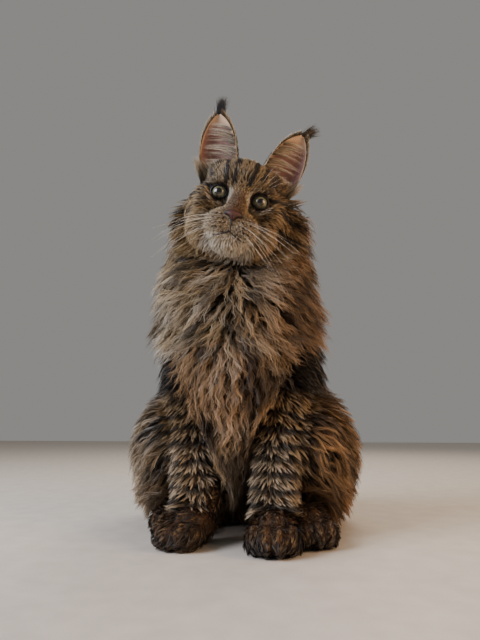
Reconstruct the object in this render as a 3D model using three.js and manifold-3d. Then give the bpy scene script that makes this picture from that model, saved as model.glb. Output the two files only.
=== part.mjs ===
// A long-haired brown tabby cat that sits upright with its head on one side: a still, life-size figure in
// millimetres. +Z is up, -Y is the way that the cat faces, +X is its own left, and the origin is on the
// floor under its seat. Every form is a soft blend of muscles, each with its skin radius and the depth of
// coat over it. A mesh is wrapped onto the blend by rays from a spine, its locks of hair are set on that
// surface, and neighbours are cut apart.
import * as THREE from "three";
import { mergeVertices } from "three/addons/utils/BufferGeometryUtils.js";
import Module from "manifold-3d";

const wasm = await Module();
wasm.setup();

// Driving dimensions
const GAP = 0.35;
const COAT_CORE = 0.45; // how far the solid core reaches from the skin, at 0, to the tips of the coat, at 1
const FLOOR_DEPTH = 60;
const FLOOR_SPAN = 900;
const FAR = 220;
const NEAR = 0.004;
const SIDES = { left: 1, right: -1 };

// The head's own frame has its origin at eye level on the middle line, 36 mm behind the front of the eyes.
const HEAD = { at: [8.3, -124.7, 376.2], pitch: 13.9, roll: 14.5, yaw: 8 };
const EYE = { at: [23, -27, 0], radius: 10.5, cornea: 8.2, corneaForward: 3.6, outward: 9, upward: 3 };
const LID = { thickness: 2.6, width: 18, height: 14, slant: 14 };
const EAR = { root: [35, 8, 31], lean: 17, back: -6, outward: 16, height: 79, width: 50, wall: 2, sunk: 12 };
const NOSE = { at: [0, -62, -25], halfWidth: 9.5, halfHeight: 5.2, depth: 6 };
const MOUTH = { radius: 1.1, sides: 4, steps: 6 };

const FOREPAW = {
  left: { at: [47, -160, 0], turn: 2 },
  right: { at: [-38, -151, 0], turn: -38 },
};
const HINDPAW = {
  left: { at: [80, -125, 0], turn: 8 },
  right: { at: [-66, -88, 0], turn: -8 },
};
const SHOULDER = { left: [42, -84, 215], right: [-42, -84, 215] };
const ELBOW = { left: [52, -98, 140], right: [-49, -97, 140] };
const WRIST = { left: [46, -148, 42], right: [-38, -140, 42] };

const TAIL_PATH = [
  [0, 84, 54],
  [12, 128, 35],
  [12, 172, 26.5],
  [-18, 208, 24],
  [-64, 222, 21.5],
  [-110, 212, 19],
  [-148, 184, 16],
  [-170, 150, 11.2],
];
const TAIL_LENGTHS = [
  ["base", 0, 3],
  ["middle", 3, 5],
  ["tip", 5, 7],
];
const TAIL_SKIN = [17, 5];
const TAIL_COAT = [20, 26, 28, 28, 27, 25, 22, 15];

// Locks of hair, each set by its length, width and thickness in millimetres, and how far it sways from side
// to side.
const LOCK = { sunk: 4.5, steps: 4, clear: 0.35, rise: 1.6, tries: 4, seed: 20411 };
const LOCKS = {
  neck: { rows: 8, columns: 12, length: 62, width: 22, thickness: 5.5, sway: 5 },
  chest: { rows: 5, columns: 7, length: 48, width: 19, thickness: 4.5, sway: 3 },
  torso: { rows: 12, columns: 9, length: 60, width: 32, thickness: 5.5, sway: 4 },
  thigh: { rows: 6, columns: 7, length: 54, width: 28, thickness: 5, sway: 3 },
  foreleg: { rows: 6, columns: 5, length: 32, width: 13, thickness: 3.5, sway: 2 },
  tail: { rows: 5, columns: 6, length: 56, width: 22, thickness: 5, sway: 4 },
  head: { rows: 6, columns: 12, length: 34, width: 13, thickness: 3.5, sway: 1.5 },
};
const EAR_TUFT = { length: 27, width: 7, thickness: 2.4, fan: [-9, 0, 9], towards: { left: 24, right: 4 } };

const COLOURS = {
  coat: 0x7a5f43,
  ruff: 0x8f7250,
  leg: 0x97795a,
  paw: 0x4c3d30,
  ear: 0xa07a66,
  eye: 0x7f8a5c,
  nose: 0x6e3b2e,
  tail: 0x5a4634,
};

const degrees = THREE.MathUtils.degToRad;
const vector = (v) => new THREE.Vector3(...v);
const mirrored = (v, side) => [v[0] * side, v[1], v[2]];

// Muscles and their blends

// An egg-shaped muscle: its centre, its three radii, the coat over it, and its turn about X, Y and Z in
// degrees.
function ball(centre, radii, coat = 0, turn = [0, 0, 0]) {
  const rotation = new THREE.Quaternion().setFromEuler(new THREE.Euler(...turn.map(degrees), "ZXY"));
  return { kind: "ball", centre: vector(centre), radii: vector(radii), coat, unturn: rotation.invert() };
}

// A limb with round ends that tapers from one point to another.
function rod(from, to, fromRadius, toRadius, coat = 0, toCoat = coat) {
  const start = vector(from);
  const along = vector(to).sub(start);
  return { kind: "rod", start, along, radii: [fromRadius, toRadius], coats: [coat, toCoat] };
}

const local = new THREE.Vector3();
const scaled = new THREE.Vector3();

function distanceToBall(muscle, point, share) {
  local.copy(point).sub(muscle.centre).applyQuaternion(muscle.unturn);
  const grown = share * muscle.coat;
  const [rx, ry, rz] = [muscle.radii.x + grown, muscle.radii.y + grown, muscle.radii.z + grown];
  scaled.set(local.x / rx, local.y / ry, local.z / rz);
  const size = scaled.length();
  const slope = Math.hypot(scaled.x / rx, scaled.y / ry, scaled.z / rz);
  return slope < 1e-9 ? -Math.min(rx, ry, rz) : (size * (size - 1)) / slope;
}

function distanceToRod(muscle, point, share) {
  local.copy(point).sub(muscle.start);
  const t = THREE.MathUtils.clamp(local.dot(muscle.along) / muscle.along.lengthSq(), 0, 1);
  const radius = THREE.MathUtils.lerp(...muscle.radii, t) + share * THREE.MathUtils.lerp(...muscle.coats, t);
  return local.addScaledVector(muscle.along, -t).length() - radius;
}

function softMinimum(a, b, softness) {
  const near = Math.max(softness - Math.abs(a - b), 0) / softness;
  return Math.min(a, b) - (near * near * softness) / 4;
}

// The distance from a point to a form at a share of its coat, below 0 inside it.
function distance(form, point, share = form.share) {
  const here = form.frame ? point.clone().applyMatrix4(form.inverse) : point.clone();
  let least = Infinity;
  for (const muscle of form.muscles) {
    const d = (muscle.kind === "ball" ? distanceToBall : distanceToRod)(muscle, here, share);
    least = least === Infinity ? d : softMinimum(least, d, form.softness);
  }
  return least;
}

function outward(form, point) {
  const step = 0.5;
  const slope = [0, 1, 2].map((axis) => {
    const ahead = point.clone().setComponent(axis, point.getComponent(axis) + step);
    const behind = point.clone().setComponent(axis, point.getComponent(axis) - step);
    return distance(form, ahead) - distance(form, behind);
  });
  return vector(slope).normalize();
}

// A form: its muscles, how softly they blend, the spine that its rays leave, and how finely it is meshed.
function makeForm({
  muscles, softness, spine, share = COAT_CORE, cap = 5, length = 4, around = 20, frame, up,
}) {
  const form = { muscles, softness, share, cap, length, around, frame };
  if (frame) form.inverse = frame.clone().invert();
  const points = spine.map((p) => (frame ? vector(p).applyMatrix4(frame) : vector(p)));
  form.spine = points.length > 2 ? new THREE.CatmullRomCurve3(points) : new THREE.LineCurve3(...points);
  form.up = vector(up ?? [0, 0, 1]);
  if (frame) form.up.transformDirection(frame);
  return form;
}

// The point of the form's surface that a ray from its spine meets, coming from outside.
function surfacePoint(form, share, angle, tilt, level = 0) {
  const along = form.spine.getTangentAt(share);
  const side = form.up.clone().cross(along).normalize();
  const over = along.clone().cross(side).normalize();
  const flat = side.multiplyScalar(Math.sin(angle)).addScaledVector(over, Math.cos(angle));
  const ray = flat.multiplyScalar(Math.cos(tilt)).addScaledVector(along, Math.sin(tilt)).normalize();
  const origin = form.spine.getPointAt(share);
  let reach = FAR;
  for (let step = 0; step < 90; step++) {
    const d = distance(form, origin.clone().addScaledVector(ray, reach)) - level;
    if (Math.abs(d) < NEAR || reach <= 0.5) break;
    reach = Math.max(reach - 0.8 * d, 0.5);
  }
  return origin.addScaledVector(ray, reach);
}

// A capsule whose vertices are moved out or in along their rays until they lie on the form.
function wrap(form, level = 0, finer = 1) {
  const [cap, length, around] = [form.cap, form.length, form.around].map((n) => Math.round(n * finer));
  const geometry = new THREE.CapsuleGeometry(1, 1, cap, around, length);
  const position = geometry.getAttribute("position");
  for (let i = 0; i < position.count; i++) {
    const p = new THREE.Vector3().fromBufferAttribute(position, i);
    const share = THREE.MathUtils.clamp(p.y + 0.5, 0, 1);
    const beyond = p.y - THREE.MathUtils.clamp(p.y, -0.5, 0.5);
    const tilt = Math.asin(THREE.MathUtils.clamp(beyond, -1, 1));
    const angle = Math.abs(Math.abs(beyond) - 1) < 1e-6 ? 0 : Math.atan2(p.x, p.z);
    position.setXYZ(i, ...surfacePoint(form, share, angle, tilt, level));
  }
  return geometry;
}

// Solids and geometries

function toSolid(geometry) {
  const bare = geometry.index ? geometry.toNonIndexed() : geometry.clone();
  const open = new THREE.BufferGeometry().setAttribute("position", bare.getAttribute("position"));
  const merged = mergeVertices(open, 1e-3);
  const index = merged.index.array;
  const whole = [];
  for (let i = 0; i < index.length; i += 3) {
    const [a, b, c] = index.slice(i, i + 3);
    if (a !== b && b !== c && c !== a) whole.push(a, b, c);
  }
  const made = new wasm.Manifold(
    new wasm.Mesh({
      numProp: 3,
      vertProperties: merged.getAttribute("position").array,
      triVerts: new Uint32Array(whole),
    }),
  );
  if (made.volume() > 0) return made;
  for (let i = 0; i < whole.length; i += 3) [whole[i + 1], whole[i + 2]] = [whole[i + 2], whole[i + 1]];
  return new wasm.Manifold(
    new wasm.Mesh({
      numProp: 3,
      vertProperties: merged.getAttribute("position").array,
      triVerts: new Uint32Array(whole),
    }),
  );
}

function toGeometry(solid) {
  const mesh = solid.getMesh();
  const positions = new Float32Array(mesh.numVert * 3);
  for (let i = 0; i < mesh.numVert; i++) {
    positions.set(mesh.vertProperties.subarray(i * mesh.numProp, i * mesh.numProp + 3), i * 3);
  }
  const geometry = new THREE.BufferGeometry();
  geometry.setAttribute("position", new THREE.BufferAttribute(positions, 3));
  geometry.setIndex(new THREE.BufferAttribute(mesh.triVerts, 1));
  geometry.computeVertexNormals();
  return geometry;
}

const placed = (solid, frame) => solid.transform(frame.elements);

// The largest of the separate bodies in a solid, with any sealed hollow filled.
function largest(solid) {
  return solid.decompose().reduce((best, body) => (body.volume() > best.volume() ? body : best));
}

const floor = toSolid(
  new THREE.BoxGeometry(FLOOR_SPAN, FLOOR_SPAN, FLOOR_DEPTH).translate(0, 0, -FLOOR_DEPTH / 2),
);

function frameOf(at, pitch = 0, roll = 0, yaw = 0) {
  const turn = new THREE.Euler(degrees(pitch), degrees(roll), degrees(yaw), "ZXY");
  return new THREE.Matrix4().makeRotationFromEuler(turn).setPosition(...at);
}

// Head

const headFrame = frameOf(HEAD.at, HEAD.pitch, HEAD.roll, HEAD.yaw);

function headMuscles() {
  const both = [1, -1].flatMap((s) => [
    ball([21 * s, -25, 13], [15, 12, 9], 0, [0, 8 * s, 0]),
    ball([33 * s, -6, -14], [20, 30, 24], 8),
    ball([22 * s, -26, -13], [16, 12, 10], 1),
    ball([22 * s, -16, -38], [22, 28, 20], 12),
    ball([12.5 * s, -52, -36], [14.5, 14, 13], 1),
    ball([30 * s, 12, 32], [15, 14, 14], 2),
  ]);
  return [
    ball([0, 8, 14], [41, 46, 36], 5),
    ball([0, -18, 22], [31, 22, 22], 2),
    rod([0, -26, 10], [0, -57, -20], 13, 9.5),
    ball([0, -42, -32], [23, 20, 18], 2),
    ball([0, -46, -53], [18, 15, 12.5], 4),
    ball([0, -10, -40], [34, 34, 24], 4),
    ...both,
  ];
}

const headForm = makeForm({
  muscles: headMuscles(),
  softness: 9,
  spine: [
    [0, 12, 0],
    [0, -26, -12],
  ],
  cap: 8,
  length: 1,
  around: 26,
  frame: headFrame,
});

const noseForm = makeForm({
  muscles: [
    ball(NOSE.at, [NOSE.halfWidth, NOSE.depth, NOSE.halfHeight]),
    ball([NOSE.at[0], NOSE.at[1] - 0.5, NOSE.at[2] - 5], [4.2, 5, 5]),
  ],
  softness: 3,
  spine: [
    [0, NOSE.at[1] + 1, NOSE.at[2] - 1],
    [0, NOSE.at[1] - 1, NOSE.at[2] - 1],
  ],
  cap: 3,
  length: 1,
  around: 14,
  frame: headFrame,
});

const eyeFrame = (side) =>
  headFrame.clone().multiply(frameOf(mirrored(EYE.at, side), -EYE.upward, 0, EYE.outward * side));

function eyeForm(side) {
  return makeForm({
    muscles: [
      ball([0, 0, 0], [EYE.radius, EYE.radius, EYE.radius]),
      ball([0, -EYE.corneaForward, 0], [EYE.cornea, EYE.cornea, EYE.cornea]),
    ],
    softness: 2,
    spine: [
      [0, 0.5, 0],
      [0, -0.5, 0],
    ],
    cap: 4,
    length: 1,
    around: 14,
    frame: eyeFrame(side),
  });
}

// The lids are a shell round the eyeball, open in an almond whose outer corner is the higher one.
function lidOpening(side) {
  const [w, h] = [LID.width / 2, LID.height / 2];
  const almond = new THREE.Shape();
  almond.moveTo(-w, 0);
  almond.bezierCurveTo(-w * 0.75, h * 1.15, w * 0.55, h * 1.25, w, 0);
  almond.bezierCurveTo(w * 0.6, -h * 1.2, -w * 0.6, -h * 1.15, -w, 0);
  const prism = new THREE.ExtrudeGeometry(almond, { depth: 40, bevelEnabled: false, curveSegments: 5 });
  prism.rotateZ(degrees(LID.slant) * side);
  prism.rotateX(Math.PI / 2);
  return placed(toSolid(prism), eyeFrame(side));
}

function lidShell(side) {
  const shell = new THREE.SphereGeometry(EYE.radius + LID.thickness, 16, 10);
  return placed(toSolid(shell), eyeFrame(side));
}

// A groove along the lips, from the nose down the middle and out to each corner of the mouth.
function mouthGroove() {
  const line = [
    [0, -40, -30],
    [0, -44, -38],
    [0, -46, -44],
  ];
  const corner = (s) => [
    [0, -44, -43],
    [7 * s, -42, -47],
    [15 * s, -36, -46],
    [24 * s, -24, -40],
  ];
  const onSkin = (p) => {
    const origin = new THREE.Vector3(0, -18, -26).applyMatrix4(headFrame);
    const ray = vector(p).applyMatrix4(headFrame).sub(origin).normalize();
    let reach = 90;
    for (let step = 0; step < 60; step++) {
      reach -= 0.8 * distance(headForm, origin.clone().addScaledVector(ray, reach));
    }
    return origin.addScaledVector(ray, reach);
  };
  const section = new THREE.Shape(
    new THREE.EllipseCurve(0, 0, MOUTH.radius, MOUTH.radius, 0, 2 * Math.PI)
      .getPoints(MOUTH.sides)
      .slice(0, -1),
  );
  return [line, corner(1), corner(-1)].map((points) => {
    const extrudePath = new THREE.CatmullRomCurve3(points.map(onSkin));
    return toSolid(new THREE.ExtrudeGeometry(section, { steps: MOUTH.steps, extrudePath }));
  });
}

function nostrils() {
  return [1, -1].map((s) => {
    const hole = new THREE.SphereGeometry(1, 8, 5).scale(3.1, 4, 1.5);
    hole.rotateY(degrees(28) * s);
    hole.translate(NOSE.at[0] + 5.6 * s, NOSE.at[1] - 5, NOSE.at[2] - 2.4);
    return placed(toSolid(hole), headFrame);
  });
}

// Ears

const earFrame = (side) =>
  headFrame
    .clone()
    .multiply(frameOf(mirrored(EAR.root, side), EAR.back, EAR.lean * side, EAR.outward * side));

// The half-width of an ear at a share of its height: widest a little above the root, then in to a rounded
// tip.
const earHalfWidth = (v) =>
  (EAR.width / 2) * Math.pow(Math.max(1 - Math.pow(v, 2.1), 0), 0.72) * (0.93 + 0.22 * v);

// A cup of thin wall, open to the front: rows up the ear, and in each row points round the back from edge
// to edge.
function earCup(side) {
  const rows = 7;
  const columns = 6;
  const layer = (wall) => {
    const points = [];
    for (let row = 0; row <= rows; row++) {
      const v = row / rows;
      const z = -EAR.sunk + v * (EAR.height + EAR.sunk - wall * 0.8);
      const half = Math.max(earHalfWidth(Math.max(z, 0) / EAR.height), 2.6) - wall * 0.15;
      const depth = half * (0.95 - 0.5 * v) + 1;
      for (let column = 0; column <= columns; column++) {
        const a = ((column / columns) * 2 - 1) * (Math.PI / 2);
        const lean = 6 * v * v;
        points.push(
          new THREE.Vector3(half * Math.sin(a) * side, depth * Math.cos(a) - wall + lean, z),
        );
      }
    }
    return points;
  };
  const points = [...layer(0), ...layer(EAR.wall)];
  const inner = (rows + 1) * (columns + 1);
  const at = (row, column) => row * (columns + 1) + column;
  const index = [];
  const quad = (a, b, c, d) => index.push(a, b, c, a, c, d);
  for (let row = 0; row < rows; row++) {
    for (let column = 0; column < columns; column++) {
      const corners = [at(row, column), at(row, column + 1), at(row + 1, column + 1), at(row + 1, column)];
      quad(...corners);
      quad(...corners.reverse().map((i) => i + inner));
    }
    for (const column of [0, columns]) {
      const edge = [at(row, column), at(row + 1, column)];
      const corners = [...edge, edge[1] + inner, edge[0] + inner];
      quad(...(column === 0 ? corners : corners.reverse()));
    }
  }
  for (let column = 0; column < columns; column++) {
    for (const row of [0, rows]) {
      const edge = [at(row, column + 1), at(row, column)];
      const corners = [...edge, edge[1] + inner, edge[0] + inner];
      quad(...(row === 0 ? corners : corners.reverse()));
    }
  }
  const geometry = new THREE.BufferGeometry().setFromPoints(points).setIndex(index);
  return placed(toSolid(geometry), earFrame(side));
}

// Trunk, neck and legs

const torsoForm = makeForm({
  muscles: [
    ball([0, 24, 72], [72, 76, 72], 24),
    rod([0, 4, 96], [0, -72, 236], 74, 50, 24, 26),
    ball([0, -66, 258], [48, 34, 36], 24),
    ...[1, -1].flatMap((s) => [
      ball([46 * s, -58, 212], [30, 38, 52], 24),
      ball([48 * s, -34, 160], [32, 46, 48], 26),
    ]),
  ],
  softness: 30,
  spine: [
    [0, 30, 66],
    [0, 0, 110],
    [0, -64, 236],
  ],
  cap: 4,
  length: 5,
  around: 20,
  up: [0, 1, 0],
});

const chestForm = makeForm({
  muscles: [ball([0, -106, 190], [42, 34, 66], 28), ball([0, -120, 112], [14, 14, 50], 14)],
  softness: 24,
  spine: [
    [0, -112, 90],
    [0, -108, 205],
  ],
  cap: 3,
  length: 4,
  around: 14,
  up: [0, 1, 0],
});

const neckForm = makeForm({
  muscles: [
    rod([0, -68, 246], [5, -84, 346], 50, 42, 26, 18),
    ball([1, -110, 246], [40, 28, 36], 36),
    ...[1, -1].flatMap((s) => [
      ball([42 * s + 4, -92, 346], [18, 26, 34], 32),
      ball([40 * s, -88, 272], [26, 32, 40], 38),
    ]),
  ],
  softness: 20,
  spine: [
    [0, -90, 256],
    [4, -94, 340],
  ],
  cap: 4,
  length: 4,
  around: 20,
  up: [0, 1, 0],
});

function thighForm(side) {
  return makeForm({
    muscles: [
      ball(mirrored([80, -8, 84], side), [40, 74, 62], 28, [6, 0, 0]),
      ball(mirrored([76, -84, 92], side), [26, 34, 42], 22),
    ],
    softness: 24,
    spine: [mirrored([84, 20, 74], side), mirrored([80, -60, 84], side)],
    cap: 4,
    length: 2,
    around: 16,
  });
}

function forelegForm(name) {
  return makeForm({
    muscles: [
      rod(SHOULDER[name], ELBOW[name], 26, 23, 18, 16),
      rod(ELBOW[name], WRIST[name], 20, 15.5, 12, 11),
    ],
    softness: 14,
    spine: [SHOULDER[name], ELBOW[name], WRIST[name]],
    cap: 3,
    length: 6,
    around: 12,
    up: [0, 1, 0],
  });
}

const pawFrame = (place) => frameOf(place.at, 0, 0, place.turn);

// A paw in its own frame: the foot behind, and four toes in an arc at the front.
function pawForm(place, foot, reach) {
  const toes = [-1.5, -0.5, 0.5, 1.5].map((n) => {
    const side = n * 12;
    const forward = -20 - (4 - Math.abs(n) * Math.abs(n) * 3.2);
    return ball([side, forward, 12.5], [8.6, 16, 13], 3.5, [0, 0, -n * 9]);
  });
  return makeForm({
    muscles: [...foot, ...toes],
    softness: 4,
    spine: [
      [0, reach, 15],
      [0, -14, 14],
    ],
    cap: 4,
    length: 2,
    around: 18,
    frame: pawFrame(place),
  });
}

const forepawForm = (name) =>
  pawForm(FOREPAW[name], [ball([0, 2, 19], [20, 26, 18], 4), rod([0, 12, 26], [0, 26, 46], 15, 14, 6)], 8);

const hindpawForm = (name) =>
  pawForm(
    HINDPAW[name],
    [ball([0, -2, 18], [20, 24, 17], 4), rod([0, 10, 18], [0, 120, 26], 17, 20, 6)],
    100,
  );

// Tail

// A length of the tail between two points of its path. Its coat is as deep as the path's own at each point.
function tailForm(from, to) {
  const points = TAIL_PATH.slice(from, to + 1);
  const size = (n) => THREE.MathUtils.lerp(...TAIL_SKIN, n / (TAIL_PATH.length - 1));
  const muscles = points.slice(1).map((end, i) => {
    const n = from + i;
    return rod(points[i], end, size(n), size(n + 1), TAIL_COAT[n], TAIL_COAT[n + 1]);
  });
  return makeForm({ muscles, softness: 10, spine: points, cap: 3, length: 2 * (to - from), around: 12 });
}

// Locks of hair

// A repeatable run of numbers from 0 to 1.
function makeRandom(seed) {
  let state = seed >>> 0;
  return () => {
    state = (state + 0x6d2b79f5) >>> 0;
    let mixed = Math.imul(state ^ (state >>> 15), 1 | state);
    mixed = (mixed + Math.imul(mixed ^ (mixed >>> 7), 61 | mixed)) ^ mixed;
    return ((mixed ^ (mixed >>> 14)) >>> 0) / 4294967296;
  };
}

// The middle line of a lock: it leaves the core at its root, follows the lie, and rises to the coat's full
// depth.
function lockPath(form, root, lie, size, avoid, lift) {
  const depth = Math.max(-distance(form, root, 1), 1.5) * size.reach;
  const points = [root.clone().addScaledVector(outward(form, root), -LOCK.sunk)];
  const normals = [outward(form, root)];
  const here = root.clone();
  for (let i = 1; i <= LOCK.steps; i++) {
    const t = i / LOCK.steps;
    const normal = outward(form, here);
    const along = lie(here, normal).addScaledVector(normal, -lie(here, normal).dot(normal)).normalize();
    const side = along.clone().cross(normal);
    const before = t - 1 / LOCK.steps;
    const sway = size.sway * (Math.sin(size.phase + 4.2 * t) - Math.sin(size.phase + 4.2 * before));
    here.addScaledVector(along, size.length / LOCK.steps).addScaledVector(side, sway);
    const height = size.thickness * 0.3 + (depth + lift) * Math.pow(t, 0.85);
    here.addScaledVector(outward(form, here), height - distance(form, here));
    for (const other of avoid) {
      const room = distance(other, here) - size.thickness * 0.6 - LOCK.clear - lift;
      if (room < 0) here.addScaledVector(outward(other, here), -room);
    }
    here.z = Math.max(here.z, size.thickness * 0.5 * (1 - t) + 0.6);
    points.push(here.clone());
    normals.push(outward(form, here));
  }
  return { points, normals };
}

// A flat blade along a path: rings of two edges and a ridge, widest below the middle, down to a point at
// its tip.
function blade({ points, normals }, size, swell = 0) {
  const rings = points.slice(0, -1).map((point, i) => {
    const along = points[i + 1].clone().sub(points[Math.max(i - 1, 0)]).normalize();
    const side = along.clone().cross(normals[i]).normalize();
    const over = side.clone().cross(along).normalize();
    const t = i / (points.length - 1);
    const half = (size.width / 2) * (0.62 + 0.75 * t - 0.95 * t * t) + swell;
    const rise = size.thickness * (0.6 - 0.3 * t) + swell;
    const under = size.thickness * 0.4 * (1 - 0.6 * t) + swell;
    return [
      point.clone().addScaledVector(side, -half).addScaledVector(over, -under * 0.6),
      point.clone().addScaledVector(side, half).addScaledVector(over, -under * 0.6),
      point.clone().addScaledVector(over, rise),
    ];
  });
  const end = points.at(-1);
  const tip = end.clone().addScaledVector(end.clone().sub(points.at(-2)).normalize(), swell);
  const vertices = [...rings.flat(), tip];
  const index = [0, 2, 1];
  for (let ring = 0; ring + 1 < rings.length; ring++) {
    for (let edge = 0; edge < 3; edge++) {
      const [a, b] = [ring * 3 + edge, ring * 3 + ((edge + 1) % 3)];
      index.push(a, b, b + 3, a, b + 3, a + 3);
    }
  }
  const last = (rings.length - 1) * 3;
  for (let edge = 0; edge < 3; edge++) index.push(last + edge, last + ((edge + 1) % 3), vertices.length - 1);
  for (const vertex of vertices) vertex.z = Math.max(vertex.z, 0.05);
  return toSolid(new THREE.BufferGeometry().setFromPoints(vertices).setIndex(index));
}

// Roots in staggered rows over a form, from one end of its spine to the other.
function* roots(form, rows, columns, random) {
  for (let row = 0; row < rows; row++) {
    for (let column = 0; column < columns; column++) {
      const along = (row + 0.5 + 0.5 * (random() - 0.5)) / rows;
      const angle = ((column + 0.5 * (row % 2) + 0.4 * (random() - 0.5)) / columns) * 2 * Math.PI;
      const share = THREE.MathUtils.clamp((along - 0.25) * 2, 0, 1);
      const tilt = (along - 0.25 - share / 2) * 4 * degrees(82);
      yield surfacePoint(form, share, angle, tilt);
    }
  }
}

// Sets locks over a node wherever keep allows, each one bent clear of the other nodes or left out where it
// can't be.
function growLocks(name, form, plan, { lie, keep, avoid = [], seed = 0 }) {
  const node = nodes.get(name);
  const others = [...nodes].filter(([other]) => other !== name).map(([, { solid }]) => solid);
  const random = makeRandom(LOCK.seed + seed);
  const grownLocks = [];
  for (const root of roots(form, plan.rows, plan.columns, random)) {
    const vary = (spread) => 1 + spread * (2 * random() - 1);
    const size = {
      length: plan.length * vary(0.18),
      width: plan.width * vary(0.2),
      thickness: plan.thickness * vary(0.12),
      reach: vary(0.14),
      sway: plan.sway * vary(0.5),
      phase: random() * 2 * Math.PI,
    };
    if (!keep(root) || avoid.some((other) => distance(other, root) < 1)) continue;
    for (let attempt = 0; attempt < LOCK.tries; attempt++) {
      const path = lockPath(form, root, lie, size, avoid, attempt * LOCK.rise);
      const fat = blade(path, size, LOCK.clear);
      if (others.some((other) => other.intersect(fat).volume() > 0)) continue;
      grownLocks.push(blade(path, size));
      break;
    }
  }
  nodes.set(name, { ...node, solid: largest(joined([node.solid, ...grownLocks])) });
  return grownLocks.length;
}

// Assembly

const grown = (form, finer = 1) => toSolid(wrap(form, GAP, finer));
const core = (form) => toSolid(wrap(form));
const joined = (solids) => wasm.Manifold.union(solids);
const lessAll = (solid, cutters) => cutters.reduce((rest, cutter) => rest.subtract(cutter), solid);

const nodes = new Map();

function addNode(name, solid, colour) {
  nodes.set(name, { solid: largest(solid.subtract(floor)), colour });
}

function buildHead() {
  const eyes = Object.entries(SIDES).map(([name, side]) => ({ name, side, form: eyeForm(side) }));
  const lids = eyes.map(({ side }) => lidShell(side));
  const openings = eyes.map(({ side }) => lidOpening(side));
  const sockets = eyes.map(({ form }) => grown(form));
  const skull = joined([core(headForm), ...lids]);
  const cutAway = [...openings, ...sockets, ...mouthGroove(), grown(noseForm)];
  addNode("head", lessAll(skull, cutAway), COLOURS.coat);
  addNode("nose", lessAll(core(noseForm), nostrils()), COLOURS.nose);
  for (const { name, form } of eyes) addNode("eye_" + name, core(form), COLOURS.eye);
}

// The tuft at an ear's tip: a few thin locks that fan out from its back.
function earTuft(name, side) {
  const frame = earFrame(side);
  return EAR_TUFT.fan.map((spread) => {
    const angle = degrees(spread + EAR_TUFT.towards[name]);
    const reach = EAR_TUFT.length * (1 - Math.abs(spread) / 40);
    const path = [
      [0, 9.4, EAR.height * 0.87],
      [0, 8, EAR.height * 0.97],
      [Math.sin(angle) * reach * 0.4, 7.5, EAR.height * 0.97 + Math.cos(angle) * reach * 0.4],
      [Math.sin(angle) * reach * 0.75, 8, EAR.height * 0.97 + Math.cos(angle) * reach * 0.75],
      [Math.sin(angle) * reach * 1.05, 9, EAR.height * 0.97 + Math.cos(angle) * reach],
    ];
    const points = path.map((p) => vector(p).applyMatrix4(frame));
    const normals = path.map(() => new THREE.Vector3(0, 1, 0.1).transformDirection(frame));
    return blade({ points, normals }, EAR_TUFT);
  });
}

function buildEars(headCutter) {
  for (const [name, side] of Object.entries(SIDES)) {
    const cup = lessAll(earCup(side), [headCutter, grown(neckForm)]);
    addNode("ear_" + name, joined([largest(cup), ...earTuft(name, side)]), COLOURS.ear);
  }
}

function buildBody(headCutter) {
  const cutters = {
    head: headCutter,
    neck: grown(neckForm),
    torso: grown(torsoForm),
    chest: grown(chestForm),
  };
  addNode("neck", core(neckForm).subtract(cutters.head), COLOURS.ruff);
  addNode("torso", core(torsoForm).subtract(cutters.neck), COLOURS.coat);
  const legs = {};
  for (const name of Object.keys(SIDES)) {
    const paw = forepawForm(name);
    const foot = hindpawForm(name);
    const leg = forelegForm(name);
    const thigh = thighForm(SIDES[name]);
    const pawCutter = grown(paw);
    const footCutter = grown(foot);
    const legCutter = grown(leg);
    addNode("forepaw_" + name, core(paw), COLOURS.paw);
    addNode("foreleg_" + name, lessAll(core(leg), [pawCutter, cutters.torso, cutters.neck]), COLOURS.leg);
    const beside = [pawCutter, legCutter, footCutter, cutters.torso];
    addNode("thigh_" + name, lessAll(core(thigh), beside), COLOURS.coat);
    addNode("hindpaw_" + name, lessAll(core(foot), [pawCutter, legCutter, cutters.torso]), COLOURS.paw);
    legs[name] = [pawCutter, legCutter];
  }
  const around = [...legs.left, ...legs.right, cutters.torso, cutters.neck, cutters.head];
  addNode("chest", lessAll(core(chestForm), around), COLOURS.ruff);
  const thighs = Object.values(SIDES).map((side) => grown(thighForm(side)));
  let before = [cutters.torso, ...thighs];
  for (const [name, from, to] of TAIL_LENGTHS) {
    const form = tailForm(from, to);
    addNode("tail_" + name, lessAll(core(form), before), COLOURS.tail);
    before = [...before, grown(form)];
  }
}

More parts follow.
